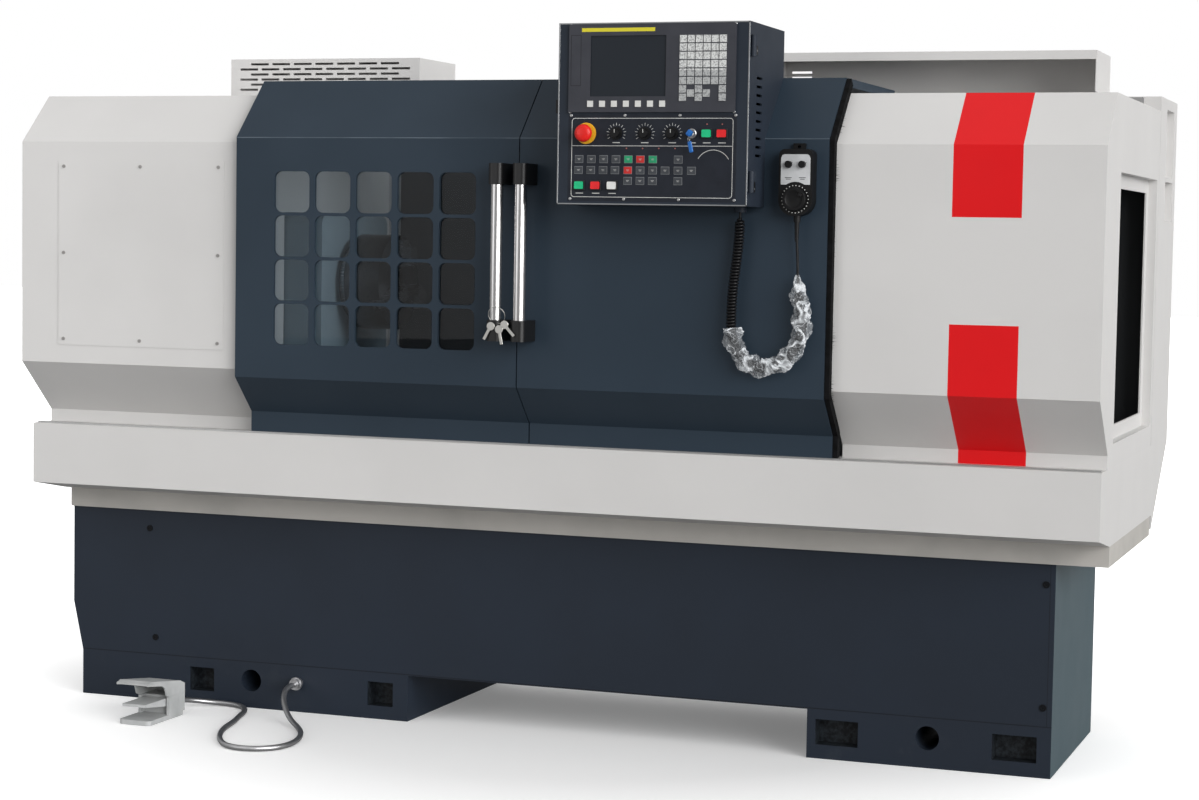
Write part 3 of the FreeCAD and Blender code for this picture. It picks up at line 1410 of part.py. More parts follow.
def make_foot_switch():
    x = ("switch_x", "switch_x + switch_wide")
    rear = "switch_y + switch_long"
    plate = box("switch_plate_block", x, ("switch_y", rear), ("0", "switch_plate"))
    plate = rounded("switch_plate_round", plate, "z", "switch_plate_round")
    y = (rear + " - switch_body_long", rear)
    x_case = (x[0] + " + switch_lug", x[1] + " - switch_lug")
    body = box("switch_case", x_case, y, ("switch_plate - overcut", "switch_joint"))
    lugs = []
    for name, low in (("left", x[0]), ("right", x[1] + " - switch_lug")):
        z = ("switch_plate - overcut", "switch_joint")
        sides = (low, low + " + switch_lug")
        lugs.append(box("switch_lug_" + name, sides, ("pedal_axis_y - switch_lug", rear), z))
    solid = fuse("switch_solid", plate, body, *lugs)
    ends = (x[0] + " - overcut", x[1] + " + overcut")
    pin_ends = (x[0] + " + switch_lug/2", x[1] + " - switch_lug/2")
    pin = rod("switch_pin", "x", "pedal_pin", ("pedal_axis_y", "pedal_axis_z"), pin_ends)
    across = ("switch_x + switch_gland_place", "switch_plate + switch_gland_rise")
    y = (rear + " - overcut", rear + " + switch_gland_long")
    gland = rod("switch_gland", "y", "conduit_radius + switch_gland_wall", across, y)
    keep(fuse("switch_body_solid", solid, pin, gland), "foot_switch")
    inner = (x[0] + " + pedal_side", x[1] + " - pedal_side")
    # the tread is a wedge, thin at its front
    tread = prism("pedal_tread", "YZ", [
        ("pedal_axis_y - pedal_long", "pedal_axis_z + pedal_thick/2"),
        ("pedal_axis_y - pedal_long", "pedal_axis_z + pedal_thick/2 - pedal_lip"),
        ("pedal_axis_y", "pedal_axis_z - pedal_thick"),
        ("pedal_axis_y + pedal_pin", "pedal_axis_z"),
        ("pedal_axis_y", "pedal_axis_z + pedal_thick/2"),
    ], *inner)
    hub = rod("pedal_hub", "x", "pedal_pin + hub_wall", ("pedal_axis_y", "pedal_axis_z"), inner)
    bore = rod("pedal_bore", "x", "pedal_pin + fit_gap", ("pedal_axis_y", "pedal_axis_z"), ends)
    keep(cut("pedal_cut", fuse("pedal_solid", tread, hub), bore), "foot_pedal")
    # the guard is a bill over the pedal that rises towards its open front, on the body's top
    low = "switch_joint + running_gap"
    bill = prism("guard_bill", "YZ", [
        ("switch_y - guard_lead", "guard_top - guard_edge"),
        ("switch_y - guard_lead", "guard_top - guard_edge/2"),
        ("switch_y + guard_edge", "guard_top"),
        (rear + " - guard_slope", "guard_rear_top"),
        (rear, "guard_rear_top - guard_edge"),
        (rear, low),
        ("pedal_axis_y - switch_lug", low),
        ("pedal_axis_y - 2*switch_lug - guard_step", low + " + guard_step"),
        ("pedal_axis_y - 3*switch_lug - guard_step", "guard_top - 2*guard_edge - switch_lug"),
        ("pedal_axis_y - 5*switch_lug - guard_step", "guard_top - 2*guard_edge"),
    ], *x)
    room_x = (x[0] + " + guard_wall", x[1] + " - guard_wall")
    room = prism("guard_room", "YZ", [
        ("switch_y - guard_lead - overcut", "guard_top - guard_edge/2 - guard_wall"),
        ("switch_y + guard_edge", "guard_top - guard_wall"),
        (rear + " - guard_slope - guard_wall", "guard_rear_top - guard_wall"),
        (rear + " - guard_wall", "guard_rear_top - guard_edge - guard_wall"),
        (rear + " - guard_wall", "switch_plate"),
        ("switch_y - guard_lead - overcut", "switch_plate"),
    ], *room_x)
    keep(cut("guard_cut", bill, room), "foot_switch_guard")
    across = ("left + gland_place", "gland_rise")
    ends = ("base_front - gland_long", "base_front")
    nut = rod("gland_nut", "y", "gland_radius", across, ends)
    ends = (ends[0] + " + gland_ring_place", ends[0] + " + gland_ring_place + gland_ring_wide")
    ring = rod("gland_ring", "y", "gland_radius + gland_ring_step", across, ends)
    keep(fuse("gland_solid", nut, ring), "conduit_gland")


# ---------------------------------------------------------------- cords

# Both routes are in the machine's frame, from the first exit to the last one.
CONDUIT_ROUTE = [
    (-987.5, -433, 26), (-987.5, -394, 26), (-976, -350, 18), (-944, -318, 10.5), (-900, -306, 7.5),
    (-856, -317, 7.5), (-822, -350, 7.5), (-802, -396, 7.5), (-788, -450, 7.5), (-767, -516, 7.5),
    (-752, -597, 7.5), (-718, -684, 7.5), (-676, -750, 7.5), (-642, -784, 7.5), (-598, -796, 7.5),
    (-554, -784, 7.5), (-522, -752, 7.5), (-511, -706, 7.5), (-519, -646, 7.5), (-545, -578, 7.5),
    (-585, -514, 7.5), (-630, -468, 14), (-667, -430, 36), (-690, -394, 60), (-697.5, -358, 76),
    (-697.5, -320, 76),
]
CORD_ROUTE = [
    (701.5, -573, 1172), (703, -573, 1128), (716, -574, 1078), (712, -575, 1022), (678, -575, 972),
    (624, -575, 952), (572, -575, 972), (546, -575, 1026), (545, -574, 1090), (549, -573, 1152),
    (556.5, -573, 1212), (561.5, -573, 1266), (561.5, -573, 1313),
]
THIN_ROUTE = [(697, -573, 1292), (697, -573, 1254), (700.2, -573, 1211), (701.5, -573, 1172)]


def cord(name, route, radius):
    """A tube along straight runs joined by the largest arcs that the runs allow."""
    points = [Vector(*point) for point in route]
    edges, start, radii, long = [], points[0], [], 0
    for before, point, after in zip(points, points[1:], points[2:]):
        into = point.sub(before)
        out = after.sub(point)
        turn = into.getAngle(out)
        bite = 0.45 * min(into.Length, out.Length)
        radii.append(bite / math.tan(turn / 2))
        first = point.sub(into.normalize() * bite)
        last = point.add(out.normalize() * bite)
        middle = first.add(last).multiply(0.5)
        centre = point.add(middle.sub(point).normalize() * (radii[-1] / math.cos(turn / 2)))
        crest = centre.add(point.sub(centre).normalize() * radii[-1])
        edges.append(Part.LineSegment(start, first).toShape())
        edges.append(Part.Arc(first, crest, last).toShape())
        long += start.distanceToPoint(first) + radii[-1] * turn
        start = last
    edges.append(Part.LineSegment(start, points[-1]).toShape())
    long += start.distanceToPoint(points[-1])
    path = Part.Wire(edges)
    ring = Part.Wire([Part.Circle(points[0], points[1].sub(points[0]), radius).toShape()])
    tube = path.makePipeShell([ring], True, False)
    item = doc.addObject("Part::Feature", name)
    item.Shape = tube
    section = math.pi * radius * radius
    ratio = tube.Volume / section / long
    print(f"{name}: {long:.0f} mm long, volume {ratio:.4f} of section by length")
    print("  radii", [round(size) for size in radii])
    return item


def make_cords():
    keep(cord("conduit_tube", CONDUIT_ROUTE, value("conduit_radius")), "foot_conduit")
    fat = cord("cord_fat", CORD_ROUTE, value("cord_radius"))
    thin = cord("cord_thin_run", THIN_ROUTE, value("cord_thin"))
    keep(group("cord_group", fat, thin), "pendant_cord")


def check():
    """Every object must have built, and every piece must be a valid solid or group of solids."""
    doc.recompute()
    for item in doc.Objects:
        bad = {"Invalid", "Error"} & set(item.State)
        if bad:
            raise RuntimeError(f"{item.Name} is {sorted(bad)}")
    for item in NODES:
        shape = item.Shape
        if shape.isNull() or not shape.isValid() or not shape.Solids:
            raise RuntimeError(f"{item.Label} has no valid solid")


def main():
    make_base()
    make_tray()
    make_bed()
    make_headstock()
    make_spindle()
    make_chuck()
    make_drive()
    make_saddle()
    make_turret()
    make_tailstock()
    make_headstock_cover()
    make_screws()
    make_end_cover()
    make_vent_cover()
    make_rear_hood()
    make_electrical()
    make_left_door()
    make_right_door()
    make_handle("left")
    make_handle("right")
    make_rails()
    make_control_box()
    make_display()
    make_controls()
    make_pendant()
    make_foot_switch()
    make_cords()
    check()
    os.makedirs("parts", exist_ok=True)
    for item in NODES:
        item.Shape.exportStep(f"parts/{item.Label}.step")
    print(len(NODES), "pieces")


main()
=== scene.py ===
import math
import random

import bpy
from bpy.props import FloatProperty, FloatVectorProperty, IntProperty, PointerProperty
from mathutils import Matrix, Vector


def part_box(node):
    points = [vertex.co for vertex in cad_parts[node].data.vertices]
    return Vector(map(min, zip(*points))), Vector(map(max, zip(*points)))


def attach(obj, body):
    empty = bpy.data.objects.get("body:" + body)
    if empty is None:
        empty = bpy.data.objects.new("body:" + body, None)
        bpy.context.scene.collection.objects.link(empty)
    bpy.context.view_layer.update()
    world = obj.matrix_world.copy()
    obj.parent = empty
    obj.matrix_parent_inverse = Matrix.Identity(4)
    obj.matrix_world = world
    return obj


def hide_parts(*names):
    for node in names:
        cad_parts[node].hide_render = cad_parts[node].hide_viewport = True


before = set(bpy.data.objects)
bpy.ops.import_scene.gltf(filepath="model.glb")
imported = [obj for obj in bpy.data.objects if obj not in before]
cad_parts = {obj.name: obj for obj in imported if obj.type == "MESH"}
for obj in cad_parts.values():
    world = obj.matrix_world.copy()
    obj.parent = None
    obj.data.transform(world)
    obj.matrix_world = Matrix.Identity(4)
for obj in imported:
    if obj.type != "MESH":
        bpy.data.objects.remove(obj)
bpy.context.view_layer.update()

bl_info = {
    "name": "Turning lathe looks",
    "version": (1, 0, 0),
    "blender": (4, 5, 0),
    "location": "View3D > Sidebar > Lathe",
    "description": "Finishes, cords and small pieces of a turning lathe",
    "category": "Object",
}

MM = 0.001


def corners(node):
    """A node's lowest and highest corner."""
    low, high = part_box(node)
    return Vector(low), Vector(high)


BOX_LOW = corners("control_box")[0]
PANEL_LOW, PANEL_HIGH = corners("operator_panel")
DISPLAY_LOW, DISPLAY_HIGH = corners("display_unit")
DOOR_LOW, DOOR_HIGH = corners("right_door")
COVER_LOW, COVER_HIGH = corners("end_cover")
PENDANT_LOW, PENDANT_HIGH = corners("pendant_body")
HANDLE_LOW, HANDLE_HIGH = corners("left_handle")
BASE_LOW, BASE_HIGH = corners("base")
CABINET_LOW, CABINET_HIGH = corners("headstock_cover")
GLASS_LOW = corners("window_glass")[0]
DOOR_FOLD = DOOR_LOW.z + 0.738  # the doors' upper fold
BOX_RIGHT = PANEL_LOW.x + 0.458  # the control box's right side
SHEET_HALF = 0.002  # half the covers' sheet


# ------------------------------------------------------------------ settings


class LathePaint(bpy.types.PropertyGroup):
    """Colours of the painted sheets and castings."""

    cover: FloatVectorProperty(
        name="Covers", description="Light powder coat of cabinets and tray",
        subtype="COLOR", size=3, default=(0.62, 0.61, 0.60))
    door: FloatVectorProperty(
        name="Doors", description="Dark textured coat of the sliding doors",
        subtype="COLOR", size=3, default=(0.0205, 0.0345, 0.0515))
    casting: FloatVectorProperty(
        name="Base", description="Satin enamel of the cast base",
        subtype="COLOR", size=3, default=(0.016, 0.023, 0.036))
    # Painted sheen: a lighter colour on the base's right end face stands in for light falling on it
    painted_end_sheen: FloatVectorProperty(
        name="Base ends", description="Lighter enamel on the end of the base",
        subtype="COLOR", size=3, default=(0.058, 0.088, 0.102))
    stripe: FloatVectorProperty(
        name="Stripes", description="Red stripes of the end cover",
        subtype="COLOR", size=3, default=(0.72, 0.003, 0.006))
    stripe_width: FloatProperty(
        name="Stripe width", description="Width of the red stripes",
        unit="LENGTH", default=0.158)


class LatheControls(bpy.types.PropertyGroup):
    """Sizes on the operator's panel."""

    key: FloatProperty(
        name="Key", description="Side of a membrane key", unit="LENGTH", default=0.019)
    line: FloatProperty(
        name="Line", description="Width of the printed lines", unit="LENGTH", default=0.0012)
    flutes: IntProperty(
        name="Flutes", description="Flutes around an override knob", default=18)


class LatheCords(bpy.types.PropertyGroup):
    """The steel conduit and the curly cord."""

    conduit: FloatProperty(
        name="Conduit", description="Diameter of the steel conduit", unit="LENGTH", default=0.014)
    rib: FloatProperty(
        name="Rib", description="Pitch of the conduit's ribs", unit="LENGTH", default=0.0036)
    coil: FloatProperty(
        name="Coil", description="Outer diameter of the curly cord", unit="LENGTH", default=0.0246)
    wire: FloatProperty(
        name="Wire", description="Diameter of the pendant's lead", unit="LENGTH", default=0.0062)
    pitch: FloatProperty(
        name="Pitch", description="Distance between the turns of the curly cord",
        unit="LENGTH", default=0.0074)


# ------------------------------------------------------------------ modelling helpers


def clear():
    """Nothing selected, in object mode."""
    if bpy.context.object and bpy.context.object.mode != "OBJECT":
        bpy.ops.object.mode_set(mode="OBJECT")
    for item in list(bpy.context.selected_objects):
        item.select_set(False)


def only(item):
    clear()
    item.select_set(True)
    bpy.context.view_layer.objects.active = item
    return item


def settle(name):
    """The new object named, with its place moved into its mesh."""
    item = bpy.context.object
    bpy.ops.object.transform_apply(location=True, rotation=True, scale=True)
    item.name = name
    item.data.name = name
    return item


def apply(item, kind, **values):
    """A modifier added, set and applied."""
    only(item)
    bpy.ops.object.modifier_add(type=kind)
    modifier = item.modifiers[-1]
    for key, setting in values.items():
        setattr(modifier, key, setting)
    bpy.ops.object.modifier_apply(modifier=modifier.name)
    return item


def block(name, low, high, bevel=0.0, segments=3):
    """A block between two corners, its edges rounded."""
    clear()
    low, high = Vector(low), Vector(high)
    bpy.ops.mesh.primitive_cube_add(size=1, location=(low + high) / 2, scale=high - low)
    item = settle(name)
    if bevel:
        apply(item, "BEVEL", width=bevel, segments=segments, limit_method="ANGLE")
    return item


AXES = {"x": (0, math.pi / 2, 0), "y": (math.pi / 2, 0, 0), "z": (0, 0, 0)}


def drum(name, centre, axis, radius, depth, bevel=0.0, sides=48, segments=3):
    """A short cylinder along an axis, its rims rounded."""
    clear()
    bpy.ops.mesh.primitive_cylinder_add(
        vertices=sides, radius=radius, depth=depth, location=centre, rotation=AXES[axis])
    item = settle(name)
    if bevel:
        apply(item, "BEVEL", width=bevel, segments=segments, limit_method="ANGLE", angle_limit=0.9)
    smooth(item)
    return item


def smooth(item, angle=35):
    only(item)
    bpy.ops.object.shade_smooth_by_angle(angle=math.radians(angle))
    return item


def turned_piece(name, centre, profile, sides=48):
    """A turned shape facing the operator: (radius, distance in front) steps extruded ring by ring."""
    clear()
    first_radius, first_out = profile[0]
    bpy.ops.mesh.primitive_circle_add(
        vertices=sides, radius=first_radius, fill_type="NGON",
        location=(centre[0], centre[1] - first_out, centre[2]), rotation=AXES["y"])
    item = settle(name)
    bpy.ops.object.mode_set(mode="EDIT")
    bpy.ops.mesh.select_all(action="SELECT")
    radius, out = first_radius, first_out
    for next_radius, next_out in profile[1:]:
        bpy.ops.mesh.extrude_region_move(TRANSFORM_OT_translate={"value": (0, -(next_out - out), 0)})
        scale = next_radius / radius
        bpy.ops.transform.resize(
            value=(scale, 1, scale), center_override=(centre[0], centre[1] - next_out, centre[2]))
        radius, out = next_radius, next_out
    bpy.ops.mesh.select_all(action="SELECT")
    bpy.ops.mesh.normals_make_consistent(inside=False)
    bpy.ops.object.mode_set(mode="OBJECT")
    smooth(item)
    return item


def ring(name, centre, axis, radius, thickness, sides=64, around=12):
    clear()
    bpy.ops.mesh.primitive_torus_add(
        major_radius=radius, minor_radius=thickness, major_segments=sides, minor_segments=around,
        location=centre, rotation=AXES[axis])
    item = settle(name)
    return smooth(item, 60)


def copy_at(source, offset, name):
    """A copy with its own mesh, moved by an offset."""
    item = source.copy()
    item.data = source.data.copy()
    item.name = name
    item.data.transform(Matrix.Translation(offset))
    bpy.context.collection.objects.link(item)
    return item


def scatter(first, places, name):
    """Copies of a piece moved by millimetres across and up the panel; the first one goes."""
    copies = [copy_at(first, Vector((x * MM, 0, z * MM)), name) for x, z in places]
    bpy.data.objects.remove(first)
    return copies


def turn_about(item, centre, angle, axis):
    """The mesh turned about a point."""
    item.data.transform(
        Matrix.Translation(centre) @ Matrix.Rotation(angle, 4, axis) @ Matrix.Translation(-centre))


def face_outwards(item):
    """Normals recalculated to point out of the closed shapes."""
    only(item)
    bpy.ops.object.mode_set(mode="EDIT")
    bpy.ops.mesh.select_all(action="SELECT")
    bpy.ops.mesh.normals_make_consistent(inside=False)
    bpy.ops.object.mode_set(mode="OBJECT")


def ring_faces(count, sides):
    """Quads between neighbouring rings of points."""
    faces = []
    for i in range(count - 1):
        for k in range(sides):
            a, b = i * sides + k, i * sides + (k + 1) % sides
            faces.append((a, b, b + sides, a + sides))
    return faces


def join(items, name):
    clear()
    for item in items:
        item.select_set(True)
    bpy.context.view_layer.objects.active = items[0]
    if len(items) > 1:
        bpy.ops.object.join()
    item = bpy.context.object
    item.name = name
    item.data.name = name
    return item


def mesh_piece(name, points, faces):
    data = bpy.data.meshes.new(name)
    data.from_pydata([tuple(point) for point in points], [], faces)
    data.update()
    item = bpy.data.objects.new(name, data)
    bpy.context.collection.objects.link(item)
    return item


def deliver(item, body, finish):
    """Material and carrying body of a finished piece."""
    item.data.materials.clear()
    item.data.materials.append(finish)
    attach(item, body)
    return item


# ------------------------------------------------------------------ material helpers


class Nodes:
    """A material's node tree with short ways to add and join nodes."""

    def __init__(self, name):
        self.material = bpy.data.materials.get(name) or bpy.data.materials.new(name)
        self.material.use_nodes = True
        self.tree = self.material.node_tree
        self.tree.nodes.clear()
        self.output = self.add("ShaderNodeOutputMaterial")
        self.shader = self.add("ShaderNodeBsdfPrincipled")
        self.join(self.shader.outputs["BSDF"], self.output.inputs["Surface"])
        self.place = self.add("ShaderNodeTexCoord").outputs["Object"]

    def add(self, kind, **values):
        node = self.tree.nodes.new(kind)
        for key, setting in values.items():
            setattr(node, key, setting)
        return node

    def join(self, start, end):
        self.tree.links.new(start, end)

    def put(self, socket, source):
        """A number, colour or another node's output on a socket."""
        if hasattr(source, "is_output"):
            self.join(source, socket)
        else:
            socket.default_value = source

    def math(self, operation, first, second=0.0, third=0.0):
        node = self.add("ShaderNodeMath", operation=operation)
        for socket, source in zip(node.inputs, (first, second, third)):
            self.put(socket, source)
        return node.outputs[0]

    def axis(self, letter):
        if not hasattr(self, "split"):
            self.split = self.add("ShaderNodeSeparateXYZ")
            self.join(self.place, self.split.inputs[0])
        return self.split.outputs[letter.upper()]

    def band(self, letter, low, high):
        """1 where the place on an axis lies between two values."""
        return self.math("COMPARE", self.axis(letter), (low + high) / 2, (high - low) / 2)

    def both(self, *masks):
        result = masks[0]
        for mask in masks[1:]:
            result = self.math("MULTIPLY", result, mask)
        return result

    def either(self, *masks):
        result = masks[0]
        for mask in masks[1:]:
            result = self.math("MAXIMUM", result, mask)
        return result

    def mix(self, mask, first, second):
        """A colour between two, by a mask."""
        node = self.add("ShaderNodeMix", data_type="RGBA")
        self.put(node.inputs["Factor"], mask)
        self.put(node.inputs["A"], with_alpha(first))
        self.put(node.inputs["B"], with_alpha(second))
        return node.outputs["Result"]

    def blend(self, mask, first, second):
        """A number between two, by a mask."""
        node = self.add("ShaderNodeMix", data_type="FLOAT")
        self.put(node.inputs["Factor"], mask)
        self.put(node.inputs["A"], first)
        self.put(node.inputs["B"], second)
        return node.outputs["Result"]

    def noise(self, scale, detail=3.0, roughness=0.55, stretch=None):
        vector = self.place
        if stretch:
            mapping = self.add("ShaderNodeMapping")
            self.join(vector, mapping.inputs["Vector"])
            mapping.inputs["Scale"].default_value = stretch
            vector = mapping.outputs["Vector"]
        node = self.add("ShaderNodeTexNoise")
        self.join(vector, node.inputs["Vector"])
        node.inputs["Scale"].default_value = scale
        node.inputs["Detail"].default_value = detail
        node.inputs["Roughness"].default_value = roughness
        return node.outputs["Fac"]

    def ramp(self, source, low, high, start=0.0, end=1.0):
        node = self.add("ShaderNodeMapRange")
        for key, setting in (("Value", source), ("From Min", low), ("From Max", high),
                             ("To Min", start), ("To Max", end)):
            self.put(node.inputs[key], setting)
        return node.outputs["Result"]

    def group(self, tree, **values):
        node = self.add("ShaderNodeGroup")
        node.node_tree = tree
        for key, setting in values.items():
            name = key.replace("_", " ").title()
            self.put(node.inputs[name], with_alpha(setting) if isinstance(setting, tuple) else setting)
        return node

    def bump(self, height, depth):
        node = self.add("ShaderNodeBump")
        self.put(node.inputs["Height"], height)
        node.inputs["Distance"].default_value = depth
        self.join(node.outputs["Normal"], self.shader.inputs["Normal"])

    def finish(self, **values):
        for key, setting in values.items():
            name = key.replace("_", " ").title().replace("Ior", "IOR")
            self.put(self.shader.inputs[name], with_alpha(setting) if isinstance(setting, tuple) else setting)
        return self.material


def with_alpha(source):
    if isinstance(source, (tuple, list)) or type(source).__name__ == "bpy_prop_array":
        return (*source[:3], 1.0)
    if type(source).__name__ == "Color":
        return (*source, 1.0)
    return source


def new_group(name, inputs, outputs):
    tree = bpy.data.node_groups.new(name, "ShaderNodeTree")
    for label, kind, default in inputs:
        socket = tree.interface.new_socket(name=label, in_out="INPUT", socket_type=kind)
        socket.default_value = default
    for label, kind in outputs:
        tree.interface.new_socket(name=label, in_out="OUTPUT", socket_type=kind)
    return tree, tree.nodes.new("NodeGroupInput"), tree.nodes.new("NodeGroupOutput")


def coat_group():
    """Cloudy colour and roughness of a sprayed coat, with a fine grain as height."""
    found = bpy.data.node_groups.get("Sprayed coat")
    if found:
        return found
    tree, start, end = new_group(
        "Sprayed coat",
        [("Color", "NodeSocketColor", (0.5, 0.5, 0.5, 1)), ("Shade", "NodeSocketColor", (0.4, 0.4, 0.4, 1)),
         ("Roughness", "NodeSocketFloat", 0.5), ("Grain Scale", "NodeSocketFloat", 900.0),
         ("Cloud Scale", "NodeSocketFloat", 3.0)],
        [("Color", "NodeSocketColor"), ("Roughness", "NodeSocketFloat"), ("Height", "NodeSocketFloat")])
    place = tree.nodes.new("ShaderNodeTexCoord")
    cloud = tree.nodes.new("ShaderNodeTexNoise")
    grain = tree.nodes.new("ShaderNodeTexNoise")
    cloud.inputs["Detail"].default_value = 4
    grain.inputs["Detail"].default_value = 2
    spread = tree.nodes.new("ShaderNodeMapRange")
    spread.inputs["From Min"].default_value = 0.38
    spread.inputs["From Max"].default_value = 0.68
    shift = tree.nodes.new("ShaderNodeMath")
    shift.operation = "MULTIPLY_ADD"
    shift.inputs[1].default_value = 0.12
    mix = tree.nodes.new("ShaderNodeMix")
    mix.data_type = "RGBA"
    link = tree.links.new
    for noise, label in ((cloud, "Cloud Scale"), (grain, "Grain Scale")):
        link(place.outputs["Object"], noise.inputs["Vector"])
        link(start.outputs[label], noise.inputs["Scale"])
    link(cloud.outputs["Fac"], spread.inputs["Value"])
    link(spread.outputs["Result"], mix.inputs["Factor"])
    link(start.outputs["Color"], mix.inputs["A"])
    link(start.outputs["Shade"], mix.inputs["B"])
    link(spread.outputs["Result"], shift.inputs[0])
    link(start.outputs["Roughness"], shift.inputs[2])
    link(mix.outputs["Result"], end.inputs["Color"])
    link(shift.outputs[0], end.inputs["Roughness"])
    link(grain.outputs["Fac"], end.inputs["Height"])
    return tree


def brushed_group():
    """Fine lines along one axis, as height and as a change of roughness."""
    found = bpy.data.node_groups.get("Brushed lines")
    if found:
        return found
    tree, start, end = new_group(
        "Brushed lines",
        [("Stretch", "NodeSocketVector", (1, 1, 1)), ("Roughness", "NodeSocketFloat", 0.3)],
        [("Height", "NodeSocketFloat"), ("Roughness", "NodeSocketFloat")])
    place = tree.nodes.new("ShaderNodeTexCoord")
    mapping = tree.nodes.new("ShaderNodeMapping")
    noise = tree.nodes.new("ShaderNodeTexNoise")
    noise.inputs["Scale"].default_value = 1.0
    noise.inputs["Detail"].default_value = 4
    shift = tree.nodes.new("ShaderNodeMath")
    shift.operation = "MULTIPLY_ADD"
    shift.inputs[1].default_value = 0.25
    link = tree.links.new
    link(place.outputs["Object"], mapping.inputs["Vector"])
    link(start.outputs["Stretch"], mapping.inputs["Scale"])
    link(mapping.outputs["Vector"], noise.inputs["Vector"])
    link(noise.outputs["Fac"], shift.inputs[0])
    link(start.outputs["Roughness"], shift.inputs[2])
    link(noise.outputs["Fac"], end.inputs["Height"])
    link(shift.outputs[0], end.inputs["Roughness"])
    return tree


def coat(name, color, shade, roughness, grain=900.0, depth=0.00008, cloud=3.0, nodes=None, gloss=0.5):
    """A sprayed coat on metal or plastic."""
    nodes = nodes or Nodes(name)
    group = nodes.group(coat_group(), color=tuple(color), shade=tuple(shade), roughness=roughness,
                        grain_scale=grain, cloud_scale=cloud)
    nodes.bump(group.outputs["Height"], depth)
    nodes.coat = group
    return nodes.finish(base_color=group.outputs["Color"], roughness=group.outputs["Roughness"],
                        specular_ior_level=gloss)


def steel(name, color, roughness, stretch, depth=0.00004):
    nodes = Nodes(name)
    lines = nodes.group(brushed_group(), roughness=roughness)
    lines.inputs["Stretch"].default_value = stretch
    nodes.bump(lines.outputs["Height"], depth)
    tint = nodes.mix(nodes.noise(14), tuple(color), tuple(part * 0.82 for part in color))
    return nodes.finish(base_color=tint, roughness=lines.outputs["Roughness"], metallic=1.0)


def plastic(name, color, roughness=0.35, shade=0.8, grain=1400.0, depth=0.00002, gloss=0.4):
    return coat(name, color, tuple(part * shade for part in color), roughness, grain, depth, 30.0,
                gloss=gloss)


# Plastics that more than one piece wears: colour, roughness, gloss.
SHARED = {
    "knob_black": ((0.0045, 0.0045, 0.005), 0.42, 0.25),
    "latch_black": ((0.006, 0.006, 0.007), 0.4, 0.3),
    "lead_black": ((0.005, 0.005, 0.006), 0.42, 0.25),
    "key_blue": ((0.010, 0.12, 0.42), 0.3, 0.4),
    "stop_red": ((0.76, 0.014, 0.010), 0.28, 0.4),
    "tick_white": ((0.66, 0.66, 0.64), 0.5, 0.4),
}


def shared(name):
    color, roughness, gloss = SHARED[name]
    return plastic(name, color, roughness, gloss=gloss)


def screw_steel():
    return steel("screw_steel", (0.5, 0.5, 0.5), 0.25, (400, 400, 400))


# ------------------------------------------------------------------ finishes of the frame's pieces


def interior(nodes, start, end, low, high):
    """Mask of the sheets' inner sides: behind the front, inside the back and below the roof."""
    return nodes.both(nodes.band("x", start, end), nodes.band("y", low.y + 0.15, high.y - 0.0006),
                      nodes.band("z", low.z - 0.01, high.z - 0.0008))


def cabinet_finish(paint):
    """The covers' coat, with painted shade (dark grey and very rough) on the inner side of the wall behind the work
    room.
    """
    color = tuple(paint.cover)
    nodes = Nodes("cabinet_coat")
    coat("cabinet_coat", color, tuple(part * 0.94 for part in color), 0.38, 700.0, 0.00005, 2.0, nodes)
    # painted shade: the inner side of the wall behind the work room is painted dark grey to stand in for the shade
    # inside
    dark = interior(nodes, CABINET_LOW.x + 0.665, CABINET_HIGH.x + 0.01, CABINET_LOW, CABINET_HIGH)
    return nodes.finish(
        base_color=nodes.mix(dark, nodes.coat.outputs["Color"], (0.050, 0.055, 0.062)),
        roughness=nodes.blend(dark, nodes.coat.outputs["Roughness"], 0.96))


def door_finish(paint):
    """Textured coat with a painted highlight, a light patchy line, along the upper fold."""
    color = tuple(paint.door)
    nodes = Nodes("door_coat")
    coat("door_coat", color, tuple(part * 0.86 for part in color), 0.46, 520.0, 0.00012, 2.0, nodes, 0.25)
    # painted highlight: a light, patchy line along the front of the upper fold
    line = nodes.both(nodes.band("z", DOOR_FOLD - 0.0014, DOOR_FOLD + 0.0010),
                      nodes.band("y", DOOR_LOW.y - 0.01, DOOR_LOW.y + 0.01))
    fold_highlight = nodes.math("MULTIPLY", line, nodes.ramp(nodes.noise(7), 0.35, 0.6, 0.25, 0.7))
    return nodes.finish(base_color=nodes.mix(fold_highlight, nodes.coat.outputs["Color"], (0.13, 0.16, 0.19)))


def cover_finish(paint):
    color = tuple(paint.cover)
    return coat("cover_coat", color, tuple(part * 0.94 for part in color), 0.38, 700.0, 0.00005, 2.0)


# The end cover's lower and upper slope: outward direction in Y and Z, the height of the fold where
# each meets the front, and the lowest and highest place of its sheet.
COVER_SLOPES = ((-0.6860, -0.7276, 0.164, COVER_LOW.z + 0.032, COVER_LOW.z + 0.2),
                (-0.7014, 0.7128, 0.731, COVER_LOW.z + 0.7, COVER_HIGH.z - 0.00001))


def outer_side(nodes):
    """Mask of the end cover's outer side: within half a sheet of its front, slopes and skirt."""
    skirt = nodes.both(nodes.math("LESS_THAN", nodes.axis("y"), COVER_LOW.y + 0.140 + SHEET_HALF),
                       nodes.math("LESS_THAN", nodes.axis("z"), COVER_LOW.z + 0.0325))
    sides = [nodes.math("LESS_THAN", nodes.axis("y"), COVER_LOW.y + SHEET_HALF), skirt]
    for way_y, way_z, fold, low, high in COVER_SLOPES:
        plane = way_y * COVER_LOW.y + way_z * (COVER_LOW.z + fold)
        reach = nodes.math("MULTIPLY_ADD", nodes.axis("z"), way_z,
                           nodes.math("MULTIPLY_ADD", nodes.axis("y"), way_y, -plane))
        sides.append(nodes.both(nodes.math("GREATER_THAN", reach, -SHEET_HALF), nodes.band("z", low, high)))
    return nodes.either(*sides)


